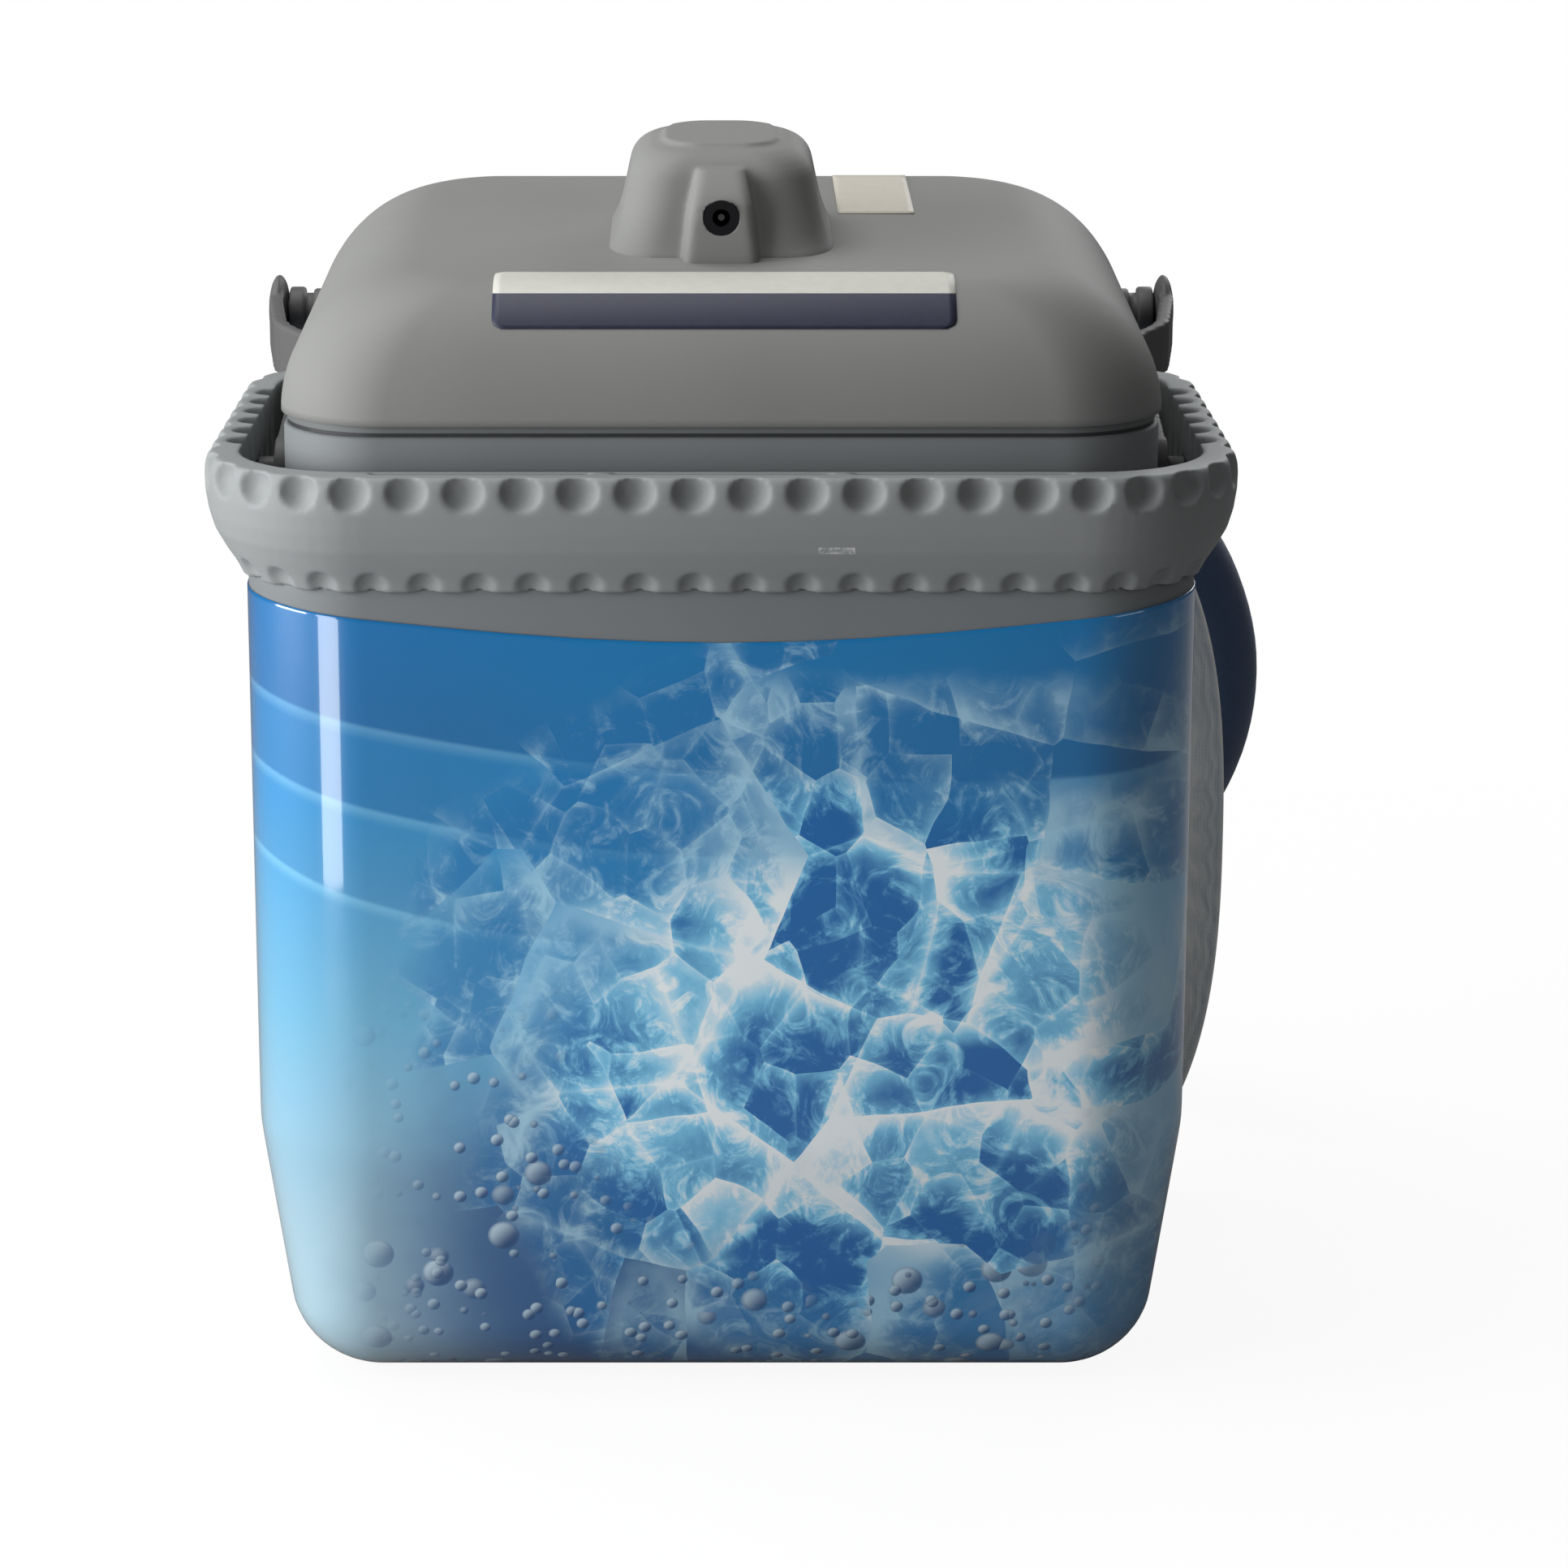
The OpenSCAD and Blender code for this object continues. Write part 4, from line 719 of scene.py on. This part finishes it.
# soft copies of CAD nodes
def softCopy(node, name, voxel, rounds, body, finish):
    # the node's own shape with its edges moulded soft, in place of the node
    made = nodes[node].copy()
    made.data = nodes[node].data.copy()
    made.name = made.data.name = name
    for block in made.users_collection:
        block.objects.unlink(made)
    scene.collection.objects.link(made)
    made.parent = None
    made.matrix_world = Matrix.Identity(4)
    made.hide_render = made.hide_viewport = False
    return softened(made, voxel, rounds, node, body, finish)


def softened(made, voxel, rounds, standsFor, body, finish):
    remesh = made.modifiers.new("remesh", "REMESH")
    remesh.mode, remesh.voxel_size, remesh.use_smooth_shade = "VOXEL", voxel, True
    smooth = made.modifiers.new("smooth", "SMOOTH")
    smooth.factor, smooth.iterations = 0.5, rounds
    applyAll(made)
    made.data.materials.clear()
    return fitted(made, finish, standsFor, body)


def applyAll(made):
    # the piece keeps the shape that its modifiers give it, shaded smooth
    held = bpy.context.evaluated_depsgraph_get()
    fresh = bpy.data.meshes.new_from_object(made.evaluated_get(held))
    old, fresh.name = made.data, made.name
    made.modifiers.clear()
    made.data = fresh
    bpy.data.meshes.remove(old)
    for face in made.data.polygons:
        face.use_smooth = True


def cutBy(made, *cutters):
    # takes each closed cutter out of the piece
    for cutter in cutters:
        cut = made.modifiers.new("cut", "BOOLEAN")
        cut.operation, cut.solver, cut.object = "DIFFERENCE", "EXACT", cutter
        bpy.context.view_layer.update()
        applyAll(made)
        bpy.data.objects.remove(cutter)


def turned(name, at, towards, profile, sides=64):
    # a shape turned round an axis from at; the profile is (along, radius) in mm
    ahead = Vector(towards).normalized()
    side = Vector((0, 0, 1)) if abs(ahead.z) < 0.9 else Vector((1, 0, 0))
    u = (side - side.dot(ahead) * ahead).normalized()
    w = ahead.cross(u)
    bm = bmesh.new()
    rings = [[Vector(at) + ahead * (along / 1000) + r / 1000 * (math.cos(a) * u + math.sin(a) * w)
              for a in (2 * math.pi * k / sides for k in range(sides))] for along, r in profile]
    skinRings(bm, rings)
    return newMesh(name, bm)


def joined(name, *pieces):
    # several meshes as one object
    bm = bmesh.new()
    for piece in pieces:
        bm.from_mesh(piece.data)
        bpy.data.objects.remove(piece)
    return newMesh(name, bm)


# lid
lidSet = {
    "halfW": 138.5, "halfD": 91, "corner": 35, "foot": 321.0, "top": 368.7,
    "front": 30, "back": 12, "side": 42,  # how far each edge sweeps inward up to the top
    "slope": math.tan(math.radians(5.5)), "wall": 2.4, "collarLength": 25,
    "runOn": 40,  # how far lidFront goes on along the top for each radian past a quarter turn
}


def lidRing(share, z, slope, under=0.0, more=0.0):
    # the ring at share of the inward sweep; more goes on inward over the top
    s = lidSet
    side, front, back = ((s[k] - under) * share + under + more for k in ("side", "front", "back"))
    shift = (front - back) / 2
    ring = planRing(s["halfW"] - side, s["halfD"] - (front + back) / 2,
                    max(1.5, s["corner"] - front * 0.4 - more * 0.5), 0, corner=16, straight=8)
    return [tub(x, y + shift, z + slope * (y + shift)) for x, y in planOf(ring)]


def lidFront(x, angle, out=0.12):
    # a point just over the lid's front slope; past a quarter turn it runs on along the top
    s = lidSet
    if angle > math.pi / 2:
        return lidTop(x, s["front"] - s["halfD"] + s["runOn"] * (angle - math.pi / 2), out)
    inset = s["front"] * (1 - math.cos(angle)) - out * math.cos(angle)
    up = (s["top"] - s["foot"]) * math.sin(angle) + out * math.sin(angle)
    y = -(s["halfD"] - inset)
    return tub(x, y, s["foot"] + up + s["slope"] * math.sin(angle) * y)


def lidTop(x, y, out=0.0):
    return tub(x, y, lidSet["top"] + lidSet["slope"] * y + out)


def buildLid(s):
    def dome(count, under=0.0):
        turns = [math.pi / 2 * k / count for k in range(count + 1)]
        return [lidRing(1 - math.cos(a), s["foot"] + (s["top"] - s["foot"] - under) * math.sin(a),
                        s["slope"] * math.sin(a), under) for a in turns]

    over = [lidRing(1, s["top"] + 0.4 * math.sin(math.pi / 2 * step / 66), s["slope"], 0, step)
            for step in (5, 12, 22, 34, 48, 60, 66)]
    under = lidRing(1, s["top"] - s["wall"], s["slope"], s["wall"], 60)
    bm = bmesh.new()
    skinRings(bm, [under] + dome(8, s["wall"])[::-1] + dome(26) + over)
    shell = newMesh("shell", bm)
    x, y, z = hoseSet["outlet"]
    collar = turned("collar", tub(x, y - s["collarLength"], z), (0, 1, 0),
                    [(0, 17), (24, 17), (24.6, 16.8), (25, 16.2), (25, 13), (0, 13)])
    return fitted(joined("lidShell", shell, collar), lidPlastic, "lid_cover", "lid")


lidShell = buildLid(lidSet)
print("lid made")

# pump housing
housingSet = {
    "y": -2, "halfW": 34, "halfD": 33, "tall": 31.6, "draft": 6.2, "flare": 2.4, "flareTall": 4.0,
    "corner": 15, "topRound": 9, "voxel": 0.0007, "rounds": 9, "jack": 378.96,
    "noseHalf": (12.2, 9.2), "noseTall": 25.5, "noseFront": -43.0, "noseFootFront": -44.2,
    "noseBack": -20, "noseSoft": 3.2, "noseLean": 9.0, "noseLeanFrom": 0.62,
}


def housingRing(up, s):
    over = max(0.0, up - (s["tall"] - s["topRound"])) / s["topRound"]
    inset = s["draft"] * up / s["tall"] + s["topRound"] * (1 - math.sqrt(max(0.0, 1 - over ** 2.2)))
    inset -= s["flare"] * math.exp(-up / s["flareTall"])
    corner = s["corner"] + 2 * up / s["tall"] - min(6, inset * 0.3)
    ring = planOf(planRing(s["halfW"] - inset, s["halfD"] - inset, corner, 0, corner=12))
    sunk = 1.5 if up == 0 else 0
    return [lidTop(x, y + s["y"], up - sunk - (x / 34) ** 2 * 0.7 * up / s["tall"]) for x, y in ring]


def noseRing(up, s):
    t = up / s["noseTall"]
    half = s["noseHalf"][0] + (s["noseHalf"][1] - s["noseHalf"][0]) * t
    lean = max(0.0, t - s["noseLeanFrom"]) / (1 - s["noseLeanFrom"])
    half -= 1.2 * lean
    front = s["noseFootFront"] + (s["noseFront"] - s["noseFootFront"]) * min(1, t / 0.3)
    front += s["noseLean"] * lean ** 1.7
    soft = s["noseSoft"]
    corners = [(half, s["noseBack"]), (-half, s["noseBack"])]
    for side, begin in ((-1, math.pi), (1, 1.5 * math.pi)):
        for k in range(7):
            a = begin + math.pi / 2 * k / 6
            corners.append((side * (half - soft) + soft * math.cos(a), front + soft + soft * math.sin(a)))
    return [lidTop(x, y, up - (1.5 if up == 0 else 0)) for x, y in corners]


def buildHousing(s):
    heights = [0, 0.8, 1.6, 2.6, 4, 6, 9, 13, 17, 21, 24, 26, 28, 29.5, 30.8, 31.8, 32.5, 32.9, 33]
    bm = bmesh.new()
    skinRings(bm, [housingRing(h, s) for h in heights])
    body = newMesh("body", bm)
    bm = bmesh.new()
    skinRings(bm, [noseRing(h, s) for h in (0, 2, 5, 9, 14, 18, 20.5, 22.5, 24.5, 26, 27)])
    nose = newMesh("nose", bm)
    made = softened(joined("housingShell", body, nose), s["voxel"], s["rounds"], "pump_housing",
                    "lid", lidPlastic)
    jack = tub(0, -60, s["jack"])  # a point in front of the nose, on the jack's axis
    cutBy(made, turned("recess", jack, (0, 1, 0), [(0, 5.75), (18.2, 5.75), (18.4, 5.6)]),
          turned("bore", jack, (0, 1, 0), [(0, 4.35), (29, 4.35)]))
    return made


housingShell = buildHousing(housingSet)
print("pump housing made")

# bare labels on the lid
labelSet = {
    "strip": (-70.8, 72.6, 46.5, 99),  # left, right, and the slope's angles at its lower and upper edge
    "split": 70,
    "cornerRound": 3.0, "tall": 26.0,  # the second is the strip's rough height along the slope
    "sticker": ((38.0, 63.0, 78), (38.6, 63.8, 22)),  # left, right and depth at its back and front
    "thick": 0.0002,
}


def labelFinish(name, upper, lower=None, splitAt=0.0):
    # matt film in one tone, or in two tones that meet at the height splitAt
    f = Finish(name, Specular_IOR_Level=0.3, Coat_Weight=0.08, Coat_Roughness=0.3)
    z = f.where.parts()[2]
    speckle = f.grain(260, 4, 0.6)
    worn = f.grain(35, 4, 0.6).ramp(0.55, 0.75)
    tone = f.blend(speckle.ramp(0.35, 0.65) * 0.22 + worn * 0.2, upper, times(upper, 0.82))
    if lower:
        deep = f.blend(speckle.ramp(0.35, 0.65) * 0.3, lower, times(lower, 1.5))
        tone = f.blend(z.ramp(splitAt - 0.00012, splitAt + 0.00012), deep, tone)
    return f.set(Base_Color=tone, Roughness=0.5 + speckle * 0.08,
                 Normal=f.relief(worn + speckle * 0.3, 0.15, 0.00006))


def patch(name, rows, thick, finish):
    # a thin sheet over rows of points, with its own edge
    bm = bmesh.new()
    verts = [[bm.verts.new(p) for p in row] for row in rows]
    for a, b in zip(verts, verts[1:]):
        for j in range(len(a) - 1):
            bm.faces.new((a[j], a[j + 1], b[j + 1], b[j]))
    made = newMesh(name, bm)
    solid = made.modifiers.new("solid", "SOLIDIFY")
    solid.thickness, solid.offset = thick, 0.0
    applyAll(made)
    made.data.materials.append(finish)
    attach(made, "lid")
    return made


def buildLabels(s):
    left, right, low, high = s["strip"]
    soft, across, steps = s["cornerRound"], 60, 24
    rows = []
    for t in (i / steps for i in range(steps + 1)):
        angle = math.radians(low + (high - low) * t)
        edge = min(t, 1 - t) * s["tall"]
        cut = soft - math.sqrt(max(0, soft * soft - (soft - edge) ** 2)) if edge < soft else 0
        rows.append([lidFront(left + cut + (right - left - 2 * cut) * j / across, angle) for j in range(across + 1)])
    split = lidFront(0, math.radians(s["split"]))[2]
    twoTone = labelFinish("labelPrint", linear(190, 190, 182), linear(36, 39, 58), split)
    strip = patch("labelStrip", rows, s["thick"], twoTone)
    (l0, r0, y0), (l1, r1, y1) = s["sticker"]
    rows, steps = [], 12
    for t in (i / steps for i in range(steps + 1)):
        left, right = l0 + (l1 - l0) * t, r0 + (r1 - r0) * t
        rows.append([lidTop(left + (right - left) * j / steps, y0 + (y1 - y0) * t, 0.5) for j in range(steps + 1)])
    sticker = patch("labelSticker", rows, s["thick"], labelFinish("stickerPrint", linear(188, 184, 173)))
    return strip, sticker


labelStrip, labelSticker = buildLabels(labelSet)
print("labels made")

# grip rim, with its edges moulded soft and the pale scuff on its front
rimSet = {
    "voxel": 0.00095, "rounds": 2,
    "scuff": (0.0353, 0.2853, 0.0056, 0.0011),  # the place of its middle, half its width and half its height
}


def rimFinish(s):
    mouldedPlastic("rimGrey", linear(136, 139, 140), 0.55)
    f = Finish.made["rimGrey"]
    x, y, z = f.where.parts()
    atX, atZ, halfW, halfH = s["scuff"]
    across, along = (x - atX).size(), (z - atZ).size()
    inside = (across < halfW) * (along < halfH) * (y < 0.0)
    core = (across < halfW - 0.0007) * (along < halfH - 0.0005)
    patchy = f.grain(900, 3, 0.6).ramp(0.35, 0.6)
    mark = inside * (1.0 - core * 0.55) * patchy
    old = Wire(f, f.shader.inputs["Base Color"].links[0].from_socket)
    return f.set(Base_Color=f.blend(mark * 0.75, old, linear(206, 208, 206)))


gripRim = softCopy("grip_ring", "gripRim", rimSet["voxel"], rimSet["rounds"], "base",
                   rimFinish(rimSet))
print("grip rim made")

# handle
handleSet = {
    "voxel": 0.0008, "rounds": 4,
    "gripRadius": 8.0, "waist": 0.9, "collar": 8.6, "collarLength": 9.4, "bore": 4.3, "steps": 60,
}
for side in ("left", "right"):
    softCopy("handle_arm_" + side, "handleArm" + side.title(), handleSet["voxel"], handleSet["rounds"],
             "handle", handleGrey)


def buildGrip(s):
    low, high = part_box("grip_sleeve")
    at = Vector((low[0], (low[1] + high[1]) / 2, (low[2] + high[2]) / 2))
    length = 2 * ((high[0] - low[0]) / 2 * 1000)
    r, collar, end, steps = s["gripRadius"], s["collar"], s["collarLength"], s["steps"]
    ends = [(0, s["bore"]), (0, collar - 0.8), (0.3, collar - 0.2), (1.0, collar), (4.6, collar),
            (5.4, collar - 0.4), (5.7, r - 1.6), (8.4, r - 1.6), (8.7, r - 0.5), (end, r)]
    middle = [(end + (length - 2 * end) * t, r - s["waist"] * math.sin(math.pi * t) ** 0.7)
              for t in (k / steps for k in range(1, steps))]
    profile = ends + middle + [(length - a, b) for a, b in ends[::-1]]
    return fitted(turned("gripSleeve", at, (1, 0, 0), profile, 56), handleGrey,
                  "grip_sleeve", "handle")


gripSleeve = buildGrip(handleSet)
print("handle made")

# elbow with its ribbed, tapered strain relief over the first of the hose
elbowSet = {
    "stub": 9.8, "body": 14.7, "flange": 16.6,
    "cuffStart": 16.4, "cuffEnd": 14.5, "cuffLength": 34, "ribs": 6, "groove": 0.75,
}


def buildElbow(s):
    outlet, bend = hoseSet["outlet"], hoseSet["bend"]
    stub, flange = s["stub"], s["flange"]
    path, radii = [], []

    def put(p, r):
        path.append(p)
        radii.append(r / 1000)

    for y, r in ((-19.5, stub - 0.6), (-18.9, stub), (0.1, stub), (0.2, flange - 0.5), (0.6, flange),
                 (2.2, flange), (2.8, flange - 0.5), (3.1, s["body"])):
        put(tub(*(outlet + Vector((0, y, 0)))), r)
    for k in range(8, 61):
        a = math.pi / 2 * k / 60
        p = outlet + bend * (math.sin(a) * Vector((0, 1, 0)) + (1 - math.cos(a)) * hoseOut)
        rib = 0.35 * max(0.0, math.sin(a * 14)) if 14 < k < 54 else 0.0
        put(tub(*p), s["body"] + rib + (0.8 * (k - 52) / 8 if k > 52 else 0))

    # the cuff follows the hose in short steps, with a groove between its ribs
    total, steps = s["cuffLength"] / 1000, 14
    fine = [a.lerp(b, k / steps) for a, b in zip(hosePath, hosePath[1:]) for k in range(steps)]
    run = 0.0
    for last, p in zip(fine, fine[1:]):
        run += (p - last).length
        if run > total:
            break
        t = run / total
        groove = s["groove"] if (t * s["ribs"]) % 1.0 > 0.62 and t < 0.95 else 0.0
        put(p, s["cuffStart"] + (s["cuffEnd"] - s["cuffStart"]) * t - groove)
    bm = bmesh.new()
    skinRings(bm, tubeRings(path, radii, 48))
    return fitted(newMesh("hoseElbow", bm), elbowRubber, "hose_elbow", "lid")


hoseElbow = buildElbow(elbowSet)
print("elbow made")

# coupling, its latch button and the pad's fitting
couplingSet = {
    "x": 113, "start": 122, "z": 14, "radius": 13,
    "bore": 4, "mouth": 6.4, "mouthDeep": 20,
    "travel": 0.0029, "gap": 0.0004,  # metres that the button's pocket is deeper and wider than the button
}


def rounded(name, low, high, radius, segments=3):
    # a box with rounded edges, its corners given in metres
    bm = bmesh.new()
    bmesh.ops.create_cube(bm, size=1)
    size = Vector(high) - Vector(low)
    for v in bm.verts:
        v.co = Vector(low) + Vector(((v.co.x + 0.5) * size.x, (v.co.y + 0.5) * size.y, (v.co.z + 0.5) * size.z))
    bmesh.ops.bevel(bm, geom=list(bm.edges), offset=radius, segments=segments, profile=0.5, affect="EDGES")
    return newMesh(name, bm)


def buildCoupling(s):
    r, bore, mouth = s["radius"], s["bore"], s["mouth"]
    profile = [(0, mouth), (0, r - 1.0), (0.4, r - 0.3), (1.2, r), (5, r), (5.6, r - 0.5), (7.0, r - 0.5),
               (7.6, r), (19, r), (20, r - 0.4)]
    for a in (20.6 + k * 3.6 for k in range(5)):  # finger rings
        profile += [(a, r - 0.9), (a + 0.9, r - 0.9), (a + 1.4, r - 0.1), (a + 2.9, r - 0.1)]
    profile += [(39.4, r), (40, r - 0.4), (40.6, r - 2), (47.6, r - 2), (48.2, r - 0.4), (48.8, r), (53.0, r),
                (53.7, r - 0.4), (54, r - 1.0), (54, bore), (s["mouthDeep"], bore), (s["mouthDeep"], mouth)]
    made = turned("couplingShell", tub(s["x"], s["start"], s["z"]), (0, 1, 0), profile, 72)
    low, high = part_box("latch_button")
    gap = s["gap"]
    cutBy(made, rounded("pocket", (low[0] - gap, low[1] - gap, low[2] - s["travel"]),
                        (high[0] + gap, high[1] + gap, 0.040), 0.0006))
    return fitted(made, couplingWhite, "coupling_body", "base")


def buildButton():
    low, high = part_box("latch_button")
    body = rounded("body", low, high, 0.0008)
    ridges = [rounded("ridge", (low[0] + 0.0012, low[1] + 0.0018 + 0.0022 * k, high[2] - 0.0006),
                      (high[0] - 0.0012, low[1] + 0.0028 + 0.0022 * k, high[2] + 0.0004), 0.0003, 2)
              for k in range(3)]
    return fitted(joined("latchButton", body, *ridges), buttonGrey, "latch_button", "latch")


def buildFitting():
    low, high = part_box("pad_fitting")
    at = Vector(((low[0] + high[0]) / 2, low[1], (low[2] + high[2]) / 2))
    total = (high[1] - low[1]) * 1000
    seat = total - 17  # the spigot that enters the coupling
    profile = [(0, 12), (0.4, 12.6), (1, 13), (9.4, 13), (10.2, 12.6), (10.6, 11.8), (10.9, 9.6), (11.6, 9.1),
               (seat - 1, 9.0), (seat - 0.3, 8.7), (seat, 8.2), (seat, 6), (total - 1.2, 6), (total - 0.3, 5.6),
               (total, 5.0), (total, 3.2), (12, 3.2)]
    return fitted(turned("padFitting", at, (0, 1, 0), profile), couplingWhite,
                  "pad_fitting", "base")


couplingShell, latchButton, padFitting = buildCoupling(couplingSet), buildButton(), buildFitting()
print("coupling made")

# pad
padSet = {
    "x": 114.2, "y": 102.4, "z": 132.6, "halfW": 66.8, "halfH": 132, "power": 2.6, "wave": 1.6, "waves": 30,
    "edge": 1.4, "border": 10, "half": 5.3, "around": 280, "step": 2.0,
    "voxel": 0.004, "frames": 20, "pressure": 4.0, "cap": 0.006, "tubSide": 0.15,  # the last holds it off the tub
    "welds": [(-34, -70), (-34, 0), (-34, 70), (0, -95), (0, -35), (0, 35), (0, 95), (34, -70), (34, 0), (34, 70)],
    "runs": [(-17, -96, 62), (17, -62, 96)],  # welded lines that lead the water up and down: x, from, to
}


def weldShares(s, x, z, spotSize, lineSize):
    # 1 on a weld and on a welded line, falling to 0 away from them
    spots = (math.hypot(x - wx, z - wz) for wx, wz in s["welds"])
    lines = (math.hypot(x - lx, z - min(b, max(a, z))) for lx, a, b in s["runs"])
    return (max(math.exp(-(d / spotSize) ** 2) for d in spots),
            max(math.exp(-(d / lineSize) ** 2) for d in lines))


def padHeight(s, inset, x, z):
    # half of the pad's thickness at a point: crowned, drawn in at the seams, welds and welded lines
    if inset <= s["border"]:
        h = s["edge"]
        for line in (3.0, 6.0):
            h -= 0.42 * math.exp(-((inset - line) / 0.7) ** 2)
        return h + 0.12 * math.sin(z * 0.5 + x * 0.8)
    rise = 1 - math.exp(-(inset - s["border"]) / 7.0)
    full = s["edge"] + (s["half"] - s["edge"]) * rise * (1 + 0.06 * math.sin(z * 0.11 + x * 0.07))
    spot, line = weldShares(s, x, z, 8.0, 6.0)
    pull = max(spot, 0.95 * line)
    return s["edge"] * 0.7 + (full - s["edge"] * 0.7) * (1 - pull * 0.92)


def padOutline(s, inset, wave):
    n, hw, hh = s["power"], s["halfW"] - inset, s["halfH"] - inset
    pts = []
    for a in (2 * math.pi * k / s["around"] for k in range(s["around"])):
        c, q = math.cos(a), math.sin(a)
        g = (abs(c / hw) ** n + abs(q / hh) ** n) ** (-1 / n) + wave * math.cos(s["waves"] * a)
        pts.append((g * c, g * q))
    return pts


def padHold(s, x, z):
    # 1 where the two sheets are welded together, 0 where the pad is free to swell
    n = s["power"]
    inset = (1 - (abs(x / s["halfW"]) ** n + abs(z / s["halfH"]) ** n) ** (1 / n)) * s["halfW"]
    seam = min(1.0, max(0.0, 1 - (inset - s["border"]) / 8))
    return max(seam, *weldShares(s, x, z, 7.0, 5.5))


def swell(made, s):
    # a cloth simulation on a coarse copy fills the pad; its moves are carried over to the fine mesh
    rough = bpy.data.objects.new("padRough", made.data.copy())
    scene.collection.objects.link(rough)
    remesh = rough.modifiers.new("remesh", "REMESH")
    remesh.mode, remesh.voxel_size = "VOXEL", s["voxel"]
    applyAll(rough)
    rest = [v.co.copy() for v in rough.data.vertices]
    centre = tub(s["x"], s["y"], s["z"])
    group = rough.vertex_groups.new(name="held")
    for i, co in enumerate(rest):
        held = padHold(s, (co.x - centre.x) * 1000, (co.z - centre.z) * 1000)
        if held > 0.05:
            group.add([i], held, "REPLACE")
    cloth = rough.modifiers.new("cloth", "CLOTH")
    cloth.settings.quality, cloth.settings.mass = 6, 0.2
    cloth.settings.use_pressure, cloth.settings.uniform_pressure_force = True, s["pressure"]
    cloth.settings.effector_weights.gravity = 0
    cloth.settings.shrink_min = -0.04
    cloth.settings.vertex_group_mass = "held"
    cloth.collision_settings.use_collision = False
    cloth.point_cache.frame_start, cloth.point_cache.frame_end = 1, s["frames"]
    for step in range(1, s["frames"] + 1):
        scene.frame_set(step)
    blown = rough.evaluated_get(bpy.context.evaluated_depsgraph_get()).data.vertices
    moves = [blown[i].co - co for i, co in enumerate(rest)]
    moves = [m * min(1.0, s["cap"] / max(m.length, 1e-9)) for m in moves]
    tree = KDTree(len(rest))
    for i, co in enumerate(rest):
        tree.insert(co, i)
    tree.balance()
    for v in made.data.vertices:
        free = 1 - padHold(s, (v.co.x - centre.x) * 1000, (v.co.z - centre.z) * 1000)
        near = tree.find_n(v.co, 5)
        shares = [1 / (d * d + 1e-7) for co, i, d in near]
        move = sum((moves[i] * w for (co, i, d), w in zip(near, shares)), Vector()) / sum(shares)
        if v.co.y < centre.y:
            move.y *= s["tubSide"]
        v.co += move * free
    print("pad swelled by up to %.1f mm" % (1000 * max(m.length for m in moves)))
    scene.frame_set(1)
    bpy.data.objects.remove(rough)


def buildPad(s):
    front, back = [], []
    insets = [0, 0.5, 1.2, 2.2, 3.0, 3.8, 5.0, 6.0, 7.0, 8.4, 10, 11, 12.2]
    while insets[-1] < s["halfW"] - 4:
        insets.append(insets[-1] + s["step"])
    for inset in insets:
        wave = s["wave"] * max(0.0, min(1, inset / 8) - max(0.0, (inset - 12) / 20)) if inset < 32 else 0.0
        ring = padOutline(s, inset, wave)
        for rows, side in ((front, -1), (back, 1)):
            row = []
            for x, z in ring:
                h = padHeight(s, inset, x, z) if inset > 0 else s["edge"] * 0.55
                row.append(tub(s["x"] + x, s["y"] + side * h, s["z"] + z))
            rows.append(row)
    bm = bmesh.new()
    skinRings(bm, front[::-1] + back)
    made = newMesh("coldPad", bm)
    swell(made, s)
    fitted(made, padWhite, "cold_pad", "base")
    return made


coldPad = buildPad(padSet)
print("pad made")

# what stays from the CAD gets its finish
for name, finish in finishOf.items():
    nodes[name].data.materials.clear()
    nodes[name].data.materials.append(finish)
hose.data.materials.append(hoseNavy)
